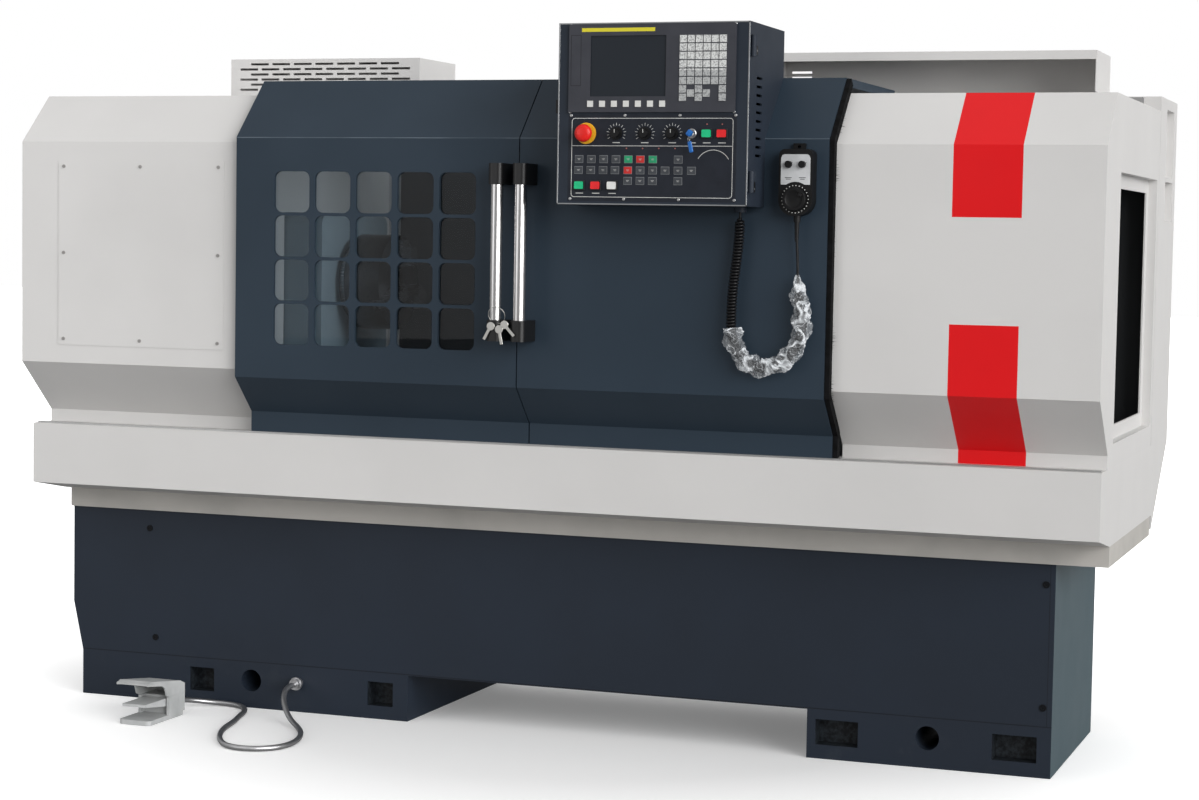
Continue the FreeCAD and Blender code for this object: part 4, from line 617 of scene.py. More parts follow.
def stripe_finish(paint):
    """The end cover's coat with two red stripes on the outer side of its front and slopes, and painted shade on the
    inner sides of its sheets.
    """
    color = tuple(paint.cover)
    nodes = Nodes("striped_cover_coat")
    coat("striped_cover_coat", color, tuple(part * 0.94 for part in color), 0.38, 700.0, 0.00005, 2.0, nodes,
         0.3)
    left = COVER_LOW.x + 0.2755
    across = nodes.band("x", left, left + paint.stripe_width)
    upper = nodes.band("z", COVER_LOW.z + 0.568, COVER_HIGH.z + 0.01)
    lower = nodes.band("z", COVER_LOW.z - 0.01, COVER_LOW.z + 0.326)
    front = nodes.band("y", COVER_LOW.y - 0.01, COVER_LOW.y + 0.1415)
    mask = nodes.both(across, front, nodes.either(upper, lower), outer_side(nodes))
    red = nodes.mix(nodes.noise(6), tuple(paint.stripe), tuple(part * 0.9 for part in paint.stripe))
    # painted shade: the inner sides of the end cover's sheets are painted near-black grey
    inside = interior(nodes, COVER_LOW.x - 0.01, COVER_HIGH.x - 0.0262, COVER_LOW, COVER_HIGH)
    coat_and_shade = nodes.mix(inside, nodes.coat.outputs["Color"], (0.024, 0.026, 0.028))
    return nodes.finish(base_color=nodes.mix(mask, coat_and_shade, red))


TOE_POCKETS = [(-1.018, -0.943), (-0.500, -0.425), (0.690, 0.805), (1.118, 1.236)]


def base_finish(paint):
    """Enamel on the casting, a little rubbed and dusty near the floor, with painted sheen on its right end face and
    painted shade in the toe pockets.
    """
    color = tuple(paint.casting)
    nodes = Nodes("base_enamel")
    coat("base_enamel", color, tuple(part * 0.82 for part in color), 0.40, 420.0, 0.00012, 2.5, nodes, 0.3)
    low = nodes.ramp(nodes.axis("z"), 0.0, 0.16, 1.0, 0.0)
    rub = nodes.ramp(nodes.noise(5, 8, 0.7), 0.56, 0.72)
    dusty = nodes.mix(nodes.math("MULTIPLY", nodes.both(low, rub), 0.20), nodes.coat.outputs["Color"],
                      (0.10, 0.11, 0.12))
    # painted sheen: the right end face of the base is painted lighter
    end = nodes.math("GREATER_THAN", nodes.axis("x"), BASE_HIGH.x - 0.0005)
    tone = nodes.mix(end, dusty, tuple(paint.painted_end_sheen))
    # the front plate's lower and right edge, and painted shade, near-black and mottled, inside the toe pockets
    front = nodes.band("y", BASE_LOW.y - 0.001, BASE_LOW.y + 0.0004)
    step = nodes.band("z", 0.1206, 0.1230)
    edge = nodes.both(nodes.band("x", BASE_HIGH.x - 0.0132, BASE_HIGH.x - 0.0116),
                      nodes.band("z", 0.121, 0.6))
    lines = nodes.math("MULTIPLY", nodes.both(front, nodes.either(step, edge)), 0.8)
    tone = nodes.mix(lines, tone, (0.004, 0.005, 0.008))
    spots = [nodes.band("x", left, right) for left, right in TOE_POCKETS]
    # painted shade: the toe pockets' inside is painted near-black, mottled
    pocket_shade = nodes.both(nodes.either(*spots), nodes.band("y", BASE_LOW.y + 0.003, BASE_LOW.y + 0.05),
                        nodes.band("z", 0.030, 0.100))
    rough = nodes.ramp(nodes.noise(110, 4), 0.4, 0.65)
    return nodes.finish(base_color=nodes.mix(pocket_shade, tone, nodes.mix(rough, (0.004, 0.005, 0.007),
            (0.022, 0.028, 0.034))))


def casting_finish():
    nodes = Nodes("machined_casting")
    coat("machined_casting", (0.20, 0.21, 0.22), (0.14, 0.15, 0.16), 0.42, 240.0, 0.0001, 8.0, nodes)
    return nodes.finish(metallic=0.65)


def handle_finish(name, low, high):
    """Brushed steel between black end blocks."""
    nodes = Nodes(name)
    edge = 0.0502
    tube = nodes.band("z", low.z + edge, high.z - edge)
    lines = nodes.group(brushed_group(), roughness=0.10)
    lines.inputs["Stretch"].default_value = (2500, 2500, 25)
    nodes.bump(lines.outputs["Height"], 0.00003)
    shade = nodes.mix(nodes.noise(9), (0.66, 0.65, 0.65), (0.54, 0.53, 0.53))
    return nodes.finish(base_color=nodes.mix(tube, (0.004, 0.004, 0.0045), shade),
                        metallic=tube,
                        roughness=nodes.blend(tube, 0.42, lines.outputs["Roughness"]))


def glass_finish():
    """Clear sheet whose tint runs from pale blue at its left end to grey further on: painted light and shade of the
    work room behind it.
    """
    nodes = Nodes("window_pane")
    # painted light and shade: the pane is tinted pale at the left and darker grey towards the right
    lit_to_shaded = nodes.ramp(nodes.axis("x"), GLASS_LOW.x + 0.13, GLASS_LOW.x + 0.33)
    tint = nodes.mix(lit_to_shaded, (0.78, 0.90, 0.98), nodes.mix(nodes.noise(5, 5), (0.30, 0.34, 0.37),
            (0.22, 0.26, 0.29)))
    nodes.shader.inputs["Transmission Weight"].default_value = 1.0
    nodes.shader.inputs["IOR"].default_value = 1.22
    return nodes.finish(base_color=tint, roughness=0.0, metallic=0.0)


def display_finish():
    """Moulded unit: dark bezel, black screen, light keys that stand proud, a bare yellow strip."""
    nodes = Nodes("display_moulding")
    coat("display_moulding", (0.040, 0.042, 0.052), (0.034, 0.036, 0.045), 0.5, 1500.0, 0.00003, 20.0, nodes,
         0.3)
    face = DISPLAY_HIGH.y - 0.006
    left, low = DISPLAY_LOW.x, DISPLAY_LOW.z
    keys = nodes.band("y", face - 0.01, face - 0.0004)
    soft = nodes.both(nodes.band("z", low, low + 0.03), nodes.band("x", left, left + 0.24))
    screen = nodes.both(nodes.band("x", left + 0.0525, left + 0.2355),
                        nodes.band("z", low + 0.0355, low + 0.1745),
                        nodes.band("y", face + 0.0012, face + 0.01))
    strip = nodes.both(nodes.band("x", left + 0.031, left + 0.208),
                       nodes.band("z", low + 0.183, low + 0.1915),
                       nodes.band("y", face - 0.0003, face + 0.001))
    column = nodes.both(nodes.band("z", low + 0.094, low + 0.19), keys)
    light = nodes.mix(column, (0.40, 0.41, 0.41), (0.62, 0.63, 0.62))
    print_mask = nodes.math("GREATER_THAN", nodes.noise(330, 1), 0.55)
    light = nodes.mix(nodes.math("MULTIPLY", print_mask, 0.55), light, (0.10, 0.10, 0.11))
    color = nodes.mix(keys, nodes.coat.outputs["Color"], light)
    color = nodes.mix(nodes.both(keys, soft), color, (0.62, 0.62, 0.60))
    color = nodes.mix(strip, color, (0.62, 0.55, 0.03))
    color = nodes.mix(screen, color, (0.016, 0.020, 0.026))
    # outline of the memory card's lid left of the screen
    lid = nodes.both(nodes.band("x", left + 0.005, left + 0.030), nodes.band("z", low + 0.060, low + 0.176))
    inset = nodes.both(nodes.band("x", left + 0.0062, left + 0.0288),
                       nodes.band("z", low + 0.0612, low + 0.1748))
    outline = nodes.both(lid, nodes.math("SUBTRACT", 1.0, inset),
                         nodes.band("y", face - 0.0003, face + 0.001))
    color = nodes.mix(outline, color, (0.010, 0.011, 0.014))
    rough = nodes.blend(screen, nodes.coat.outputs["Roughness"], 0.08)
    return nodes.finish(base_color=color, roughness=rough)


def vent_finish(paint):
    """The coat of the vent cover and the hood."""
    color = tuple(paint.cover)
    return coat("roof_coat", color, tuple(part * 0.93 for part in color), 0.42, 700.0, 0.00005, 2.0)


def brush_finish():
    nodes = Nodes("bristles")
    coat("bristles", (0.006, 0.006, 0.007), (0.003, 0.003, 0.003), 0.8, 900.0, 0.0004, 60.0, nodes, 0.1)
    return nodes.material


def conduit_finish():
    nodes = Nodes("conduit_steel")
    color = nodes.mix(nodes.noise(60), (0.62, 0.62, 0.63), (0.46, 0.46, 0.47))
    return nodes.finish(base_color=color, metallic=0.95, roughness=nodes.ramp(nodes.noise(40), 0.3, 0.7, 0.28,
            0.36))


def film_finish():
    """Thin clear film, seen mostly by its creases, painted as opaque white lines that stand in for highlights."""
    nodes = Nodes("clear_film")
    fold = nodes.math("ABSOLUTE", nodes.math("SUBTRACT", nodes.noise(21, 1, 0.4), 0.5))
    # painted highlight: lines of more opaque white film along the creases
    crease_highlight = nodes.ramp(fold, 0.0, 0.040, 1.0, 0.0)
    fine = nodes.math("ABSOLUTE", nodes.math("SUBTRACT", nodes.noise(52, 1, 0.4), 0.52))
    lines = nodes.either(crease_highlight, nodes.ramp(fine, 0.0, 0.030, 0.50, 0.0))
    nodes.bump(nodes.noise(34, 2), 0.0030)
    return nodes.finish(base_color=(0.80, 0.83, 0.86), roughness=0.14, alpha=nodes.blend(lines, 0.07, 0.70))


def screw_finish():
    """Light screws on the cabinet, black ones on the base."""
    nodes = Nodes("screw_coat")
    coat("screw_coat", (0.004, 0.005, 0.007), (0.003, 0.003, 0.004), 0.4, 1400.0, 0.00002, 30.0, nodes, 0.2)
    high = nodes.math("GREATER_THAN", nodes.axis("z"), 0.6)
    return nodes.finish(base_color=nodes.mix(high, nodes.coat.outputs["Color"], (0.30, 0.29, 0.28)))


class LATHE_OT_finishes(bpy.types.Operator):
    """Give every piece of the frame its finish"""

    bl_idname = "lathe.finishes"
    bl_label = "Finishes"

    def execute(self, context):
        paint = context.scene.lathe_paint
        cover = cover_finish(paint)
        casting = casting_finish()
        ground = steel("ground_steel", (0.66, 0.66, 0.67), 0.12, (40, 900, 900))
        door = door_finish(paint)
        box_coat = coat("box_coat", (0.018, 0.025, 0.038), (0.015, 0.021, 0.031), 0.48, 900.0, 0.00010, 4.0,
                        gloss=0.25)
        alloy = coat("foot_alloy", (0.50, 0.51, 0.51), (0.38, 0.39, 0.39), 0.40, 260.0, 0.00014, 14.0)
        finishes = {
            cabinet_finish(paint): ["headstock_cover"],
            cover: ["chip_tray", "electrical_cabinet", "electrical_door", "access_panel"],
            stripe_finish(paint): ["end_cover"],
            vent_finish(paint): ["vent_cover", "rear_hood"],
            coat("band_enamel", (0.47, 0.45, 0.42), (0.40, 0.385, 0.36), 0.45, 500.0, 0.0001,
                 5.0): ["tray_band"],
            door: ["left_door", "right_door"],
            base_finish(paint): ["base"],
            box_coat: ["control_box", "operator_panel"],
            coat("head_enamel", (0.30, 0.37, 0.41), (0.24, 0.30, 0.34), 0.42, 400.0, 0.0001,
                 4.0): ["headstock"],
            steel("chuck_steel", (0.17, 0.17, 0.18), 0.20, (40, 900, 900)): ["chuck_body"],
            casting: ["bed", "saddle", "cross_slide", "tailstock_body", "spindle_motor", "z_servo_motor"],
            ground: ["z_ball_screw", "tailstock_quill", "spindle", "chuck_jaw_1", "chuck_jaw_2",
                     "chuck_jaw_3", "tool_turret", "motor_pulley", "spindle_pulley"],
            steel("tool_steel", (0.30, 0.30, 0.32), 0.3, (300, 300, 40)): ["turning_tools"],
            steel("rail_steel", (0.55, 0.55, 0.55), 0.25, (20, 900, 900)): ["door_rails"],
            handle_finish("left_handle_metal", HANDLE_LOW, HANDLE_HIGH): ["left_handle"],
            handle_finish("right_handle_metal", HANDLE_LOW, HANDLE_HIGH): ["right_handle"],
            glass_finish(): ["window_glass"],
            display_finish(): ["display_unit"],
            alloy: ["foot_switch", "foot_switch_guard", "foot_pedal"],
            conduit_finish(): ["conduit_gland", "foot_conduit"],
            brush_finish(): ["brush_seal", "pendant_cord", "drive_belt"],
            screw_finish(): ["cover_screws"],
            shared("knob_black"): [
                "override_knob_1", "override_knob_2", "override_knob_3", "pendant_body", "pendant_wheel",
                "pendant_knob_1", "pendant_knob_2"],
            shared("stop_red"): ["emergency_stop"],
            plastic("lamp_red", (0.80, 0.014, 0.018), 0.30): ["power_off_button", "feed_hold_button"],
            plastic("lamp_green", (0.008, 0.50, 0.21), 0.30): ["power_on_button", "cycle_start_button"],
            plastic("lamp_white", (0.72, 0.72, 0.70), 0.25): ["lamp_button"],
            shared("key_blue"): ["switch_key"],
        }
        for finish, nodes in finishes.items():
            for node in nodes:
                for material_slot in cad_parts[node].material_slots:
                    material_slot.material = finish
        return {"FINISHED"}


# ------------------------------------------------------------------ camera, floor and light


CAMERA_PLACE = Vector((2.1959, -6.0526, 1.2458))
CAMERA_TURN = math.radians(19.78)
CAMERA_DIP = math.radians(3.72)
CAMERA_ROLL = math.radians(0.98)
CAMERA_LENS = 74.28
SUN_ANGLE = 0.9
LAMP_AIM = Vector((0, -0.2, 0.9))


class LATHE_OT_stage(bpy.types.Operator):
    """Set up the camera, the pale floor and the soft light"""

    bl_idname = "lathe.stage"
    bl_label = "Stage"

    def execute(self, context):
        scene = context.scene
        data = bpy.data.cameras.new("Camera")
        data.lens = CAMERA_LENS
        data.sensor_width = 36.0
        data.clip_end = 60.0
        camera = bpy.data.objects.new("Camera", data)
        scene.collection.objects.link(camera)
        look = Vector((-math.sin(CAMERA_TURN) * math.cos(CAMERA_DIP),
                       math.cos(CAMERA_TURN) * math.cos(CAMERA_DIP), -math.sin(CAMERA_DIP)))
        side = Vector((math.cos(CAMERA_TURN), math.sin(CAMERA_TURN), 0))
        up = side.cross(look)
        side_rolled = side * math.cos(CAMERA_ROLL) + up * math.sin(CAMERA_ROLL)
        up_rolled = up * math.cos(CAMERA_ROLL) - side * math.sin(CAMERA_ROLL)
        turn = Matrix((side_rolled, up_rolled, -look)).transposed().to_4x4()
        camera.matrix_world = Matrix.Translation(CAMERA_PLACE) @ turn
        scene.camera = camera
        scene.view_settings.view_transform = "Standard"
        self.floor()
        self.world(scene)
        self.sun("key_light", (0.840, -0.520, 0.165), 4.0)
        self.lamp("left_light", (-3.6, -5.6, 2.2), 3.0, 42)
        self.lamp("room_light", (0.16, -0.34, 1.44), 0.30, 3.4)
        return {"FINISHED"}

    def floor(self):
        """A pale floor that turns plain white far from the machine and throws little light back up."""
        clear()
        bpy.ops.mesh.primitive_plane_add(size=80, location=(0, 0, -0.0006))
        floor = settle("floor")
        nodes = Nodes("floor_white")
        camera = nodes.add("ShaderNodeLightPath").outputs["Is Camera Ray"]
        tone = nodes.mix(nodes.noise(0.6), (0.90, 0.90, 0.90), (0.88, 0.88, 0.88))
        far = nodes.add("ShaderNodeVectorMath", operation="LENGTH")
        nodes.join(nodes.place, far.inputs[0])
        glow = nodes.both(nodes.ramp(far.outputs["Value"], 0.8, 2.7, 0.16, 1.0), camera)
        nodes.put(nodes.shader.inputs["Emission Color"], (1.0, 1.0, 1.0, 1.0))
        floor.data.materials.append(nodes.finish(
            base_color=nodes.mix(camera, (0.34, 0.34, 0.34), tone), roughness=0.8, specular_ior_level=0.1,
            emission_strength=glow))

    def world(self, scene):
        """White behind the machine; a bright ceiling and dimmer walls for everything it reflects."""
        world = bpy.data.worlds.new("studio")
        scene.world = world
        world.use_nodes = True
        tree = world.node_tree
        tree.nodes.clear()
        output = tree.nodes.new("ShaderNodeOutputWorld")
        mix = tree.nodes.new("ShaderNodeMixShader")
        path = tree.nodes.new("ShaderNodeLightPath")
        place = tree.nodes.new("ShaderNodeTexCoord")
        split = tree.nodes.new("ShaderNodeSeparateXYZ")
        rise = tree.nodes.new("ShaderNodeMapRange")
        for key, setting in (("From Min", -0.1), ("From Max", 0.9), ("To Min", 0.36), ("To Max", 0.66)):
            rise.inputs[key].default_value = setting
        shades = []
        for _ in range(2):
            shade = tree.nodes.new("ShaderNodeBackground")
            shade.inputs["Color"].default_value = (1, 1, 1, 1)
            shades.append(shade)
        tree.links.new(place.outputs["Generated"], split.inputs[0])
        tree.links.new(split.outputs["Z"], rise.inputs["Value"])
        tree.links.new(rise.outputs["Result"], shades[0].inputs["Strength"])
        tree.links.new(path.outputs["Is Camera Ray"], mix.inputs[0])
        tree.links.new(shades[0].outputs[0], mix.inputs[1])
        tree.links.new(shades[1].outputs[0], mix.inputs[2])
        tree.links.new(mix.outputs[0], output.inputs["Surface"])

    def sun(self, name, way, power):
        data = bpy.data.lights.new(name, "SUN")
        data.energy = power
        data.angle = SUN_ANGLE
        lamp = bpy.data.objects.new(name, data)
        bpy.context.scene.collection.objects.link(lamp)
        lamp.visible_transmission = False
        lamp.rotation_euler = Vector(way).to_track_quat("Z", "Y").to_euler()

    def lamp(self, name, place, size, power):
        data = bpy.data.lights.new(name, "AREA")
        data.size = size
        data.energy = power
        lamp = bpy.data.objects.new(name, data)
        bpy.context.scene.collection.objects.link(lamp)
        lamp.visible_transmission = False
        aim = LAMP_AIM - Vector(place)
        lamp.location = place
        lamp.rotation_euler = aim.to_track_quat("-Z", "Y").to_euler()


# ------------------------------------------------------------------ cords


CONDUIT_ROUTE = [
    (-0.9875, -0.433, 0.026), (-0.9875, -0.394, 0.026), (-0.976, -0.35, 0.018), (-0.944, -0.318, 0.0105),
    (-0.9, -0.306, 0.0075), (-0.856, -0.317, 0.0075), (-0.822, -0.35, 0.0075), (-0.802, -0.396, 0.0075),
    (-0.788, -0.45, 0.0075), (-0.767, -0.516, 0.0075), (-0.752, -0.597, 0.0075), (-0.718, -0.684, 0.0075),
    (-0.676, -0.75, 0.0075), (-0.642, -0.784, 0.0075), (-0.598, -0.796, 0.0075), (-0.554, -0.784, 0.0075),
    (-0.522, -0.752, 0.0075), (-0.511, -0.706, 0.0075), (-0.519, -0.646, 0.0075), (-0.545, -0.578, 0.0075),
    (-0.585, -0.514, 0.0075), (-0.63, -0.468, 0.014), (-0.667, -0.43, 0.036), (-0.69, -0.394, 0.06),
    (-0.6975, -0.358, 0.076), (-0.6975, -0.32, 0.076),
]
LEAD_ROUTE = [
    (0.697, -0.573, 1.292), (0.697, -0.573, 1.254), (0.7002, -0.573, 1.211), (0.7015, -0.573, 1.172),
    (0.703, -0.573, 1.128), (0.716, -0.574, 1.078), (0.712, -0.575, 1.022), (0.678, -0.575, 0.972),
    (0.624, -0.575, 0.952), (0.572, -0.575, 0.972), (0.546, -0.575, 1.026), (0.545, -0.574, 1.09),
    (0.549, -0.573, 1.152), (0.5565, -0.573, 1.212), (0.5615, -0.573, 1.266), (0.5615, -0.573, 1.313),
]


def route_curve(name, route):
    """A smooth curve with the route's points as its control points."""
    data = bpy.data.curves.new(name, "CURVE")
    data.dimensions = "3D"
    spline = data.splines.new("NURBS")
    spline.points.add(len(route) - 1)
    for point, place in zip(spline.points, route):
        point.co = (*place, 1.0)
    spline.order_u = 3
    spline.use_endpoint_u = True
    data.resolution_u = 24
    item = bpy.data.objects.new(name, data)
    bpy.context.collection.objects.link(item)
    return item


def line_points(route):
    """Points along the route's smooth line."""
    curve = route_curve("route_line", route)
    bpy.context.view_layer.update()
    line = bpy.data.meshes.new_from_object(curve)
    points = [vertex.co.copy() for vertex in line.vertices]
    bpy.data.objects.remove(curve)
    bpy.data.meshes.remove(line)
    return points


def even_points(points, step):
    """The same line with points a step apart."""
    spans = [(b - a).length for a, b in zip(points, points[1:])]
    total = sum(spans)
    count = max(2, round(total / step))
    result, index, passed = [points[0].copy()], 0, 0.0
    for number in range(1, count):
        goal = total * number / count
        while passed + spans[index] < goal:
            passed += spans[index]
            index += 1
        share = (goal - passed) / spans[index]
        result.append(points[index].lerp(points[index + 1], share))
    result.append(points[-1].copy())
    return result, total


def frames(points):
    """A side and a top direction at each point, carried along without twist."""
    ways = []
    for i in range(len(points)):
        way = points[min(i + 1, len(points) - 1)] - points[max(i - 1, 0)]
        ways.append(way.normalized())
    side = ways[0].orthogonal().normalized()
    result = []
    for way in ways:
        side = (side - way * side.dot(way)).normalized()
        result.append((side.copy(), way.cross(side)))
    return result


def tube(name, points, radii, sides=12):
    """A closed tube along points, its radius given point by point."""
    turns = frames(points)
    rings = []
    for point, radius, (side, top) in zip(points, radii, turns):
        for k in range(sides):
            angle = math.tau * k / sides
            rings.append(point + side * math.cos(angle) * radius + top * math.sin(angle) * radius)
    faces = ring_faces(len(points), sides)
    faces.append(tuple(reversed(range(sides))))
    last = (len(points) - 1) * sides
    faces.append(tuple(range(last, last + sides)))
    item = mesh_piece(name, rings, faces)
    return smooth(item, 60)


LEAD_STRAIGHT = 0.146  # plain lead below the pendant
LEAD_END = 0.012  # plain lead at the control box, and the stretch where the turns shrink to it
LEAD_EASE = 0.028  # the stretch where the turns grow
FILM_STEP = 0.0040  # between the film's rings
FILM_TAPER = 0.055  # the stretch where the film widens
FILM_SHORT = 0.040  # left bare at the end of its part of the route


class LATHE_OT_cords(bpy.types.Operator):
    """Lay the foot switch's steel conduit and hang the pendant's curly cord"""

    bl_idname = "lathe.cords"
    bl_label = "Cords"

    def execute(self, context):
        sizes = context.scene.lathe_cords
        self.conduit(sizes)
        self.lead(sizes)
        return {"FINISHED"}

    def conduit(self, sizes):
        points = even_points(line_points(CONDUIT_ROUTE), sizes.rib / 4)[0]
        outer = sizes.conduit / 2
        wave = (1.0, 0.98, 0.945, 0.98)
        radii = [outer * wave[i % 4] for i in range(len(points))]
        piece = tube("steel_conduit", points, radii, 14)
        deliver(piece, "machine", conduit_finish())
        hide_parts("foot_conduit")

    def lead(self, sizes):
        """A straight stretch below the pendant, then turns around the route's line."""
        points, length = even_points(line_points(LEAD_ROUTE), sizes.pitch / 14)
        turns = frames(points)
        start, end = LEAD_STRAIGHT, length - LEAD_END
        step = length / (len(points) - 1)
        full = (sizes.coil - sizes.wire) / 2
        path = []
        for i, (point, (side, top)) in enumerate(zip(points, turns)):
            along = i * step
            ease = min(1.0, max(0.0, (along - start) / LEAD_EASE), max(0.0, (end - along) / LEAD_END))
            angle = math.tau * (along - start) / sizes.pitch
            reach = full * ease
            path.append(point + (side * math.cos(angle) + top * math.sin(angle)) * reach)
        data = bpy.data.curves.new("pendant_lead", "CURVE")
        data.dimensions = "3D"
        spline = data.splines.new("POLY")
        keep = [p for i, p in enumerate(path) if i * step > start - 0.003 or i % 14 == 0 or i == 0]
        spline.points.add(len(keep) - 1)
        for point, place in zip(spline.points, keep):
            point.co = (*place, 1.0)
        data.bevel_depth = sizes.wire / 2
        data.bevel_resolution = 2
        data.use_fill_caps = True
        piece = bpy.data.objects.new("pendant_lead", data)
        bpy.context.collection.objects.link(piece)
        deliver(piece, "right_door", shared("lead_black"))
        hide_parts("pendant_cord")
        self.film()

    def film(self):
        """Crumpled clear film wound around the lower half of the curly cord."""
        points, length = even_points(line_points(LEAD_ROUTE[3:12]), FILM_STEP)
        points = points[:int(len(points) * (1 - FILM_SHORT / length))]
        turns = frames(points)
        random.seed(7)
        sides, rings = 28, []
        for i, (point, (side, top)) in enumerate(zip(points, turns)):
            grown = min(1.0, i * FILM_STEP / FILM_TAPER)
            for k in range(sides):
                angle = math.tau * k / sides
                lobe = 0.0042 * math.sin(i * 0.50 + 3 * angle) + 0.0030 * math.sin(i * 0.31 - 2 * angle)
                radius = 0.0048 + 0.0142 * grown + (lobe + random.uniform(-0.0026,
                        0.0026)) * (0.2 + 0.8 * grown)
                offset = side * math.cos(angle) + top * math.sin(angle)
                rings.append(point + offset * max(0.0036 + 0.0096 * grown, radius))
        piece = mesh_piece("clear_wrap", rings, ring_faces(len(points), sides))
        apply(piece, "SOLIDIFY", thickness=0.00025, offset=0)
        deliver(piece, "right_door", film_finish())


# ------------------------------------------------------------------ operator's panel


def panel_point(across, height, out=0.0):
    """A place on the operator's panel: millimetres from its left edge and from its lower edge."""
    return Vector((PANEL_LOW.x + across * MM, PANEL_LOW.y - out * MM, PANEL_LOW.z + height * MM))


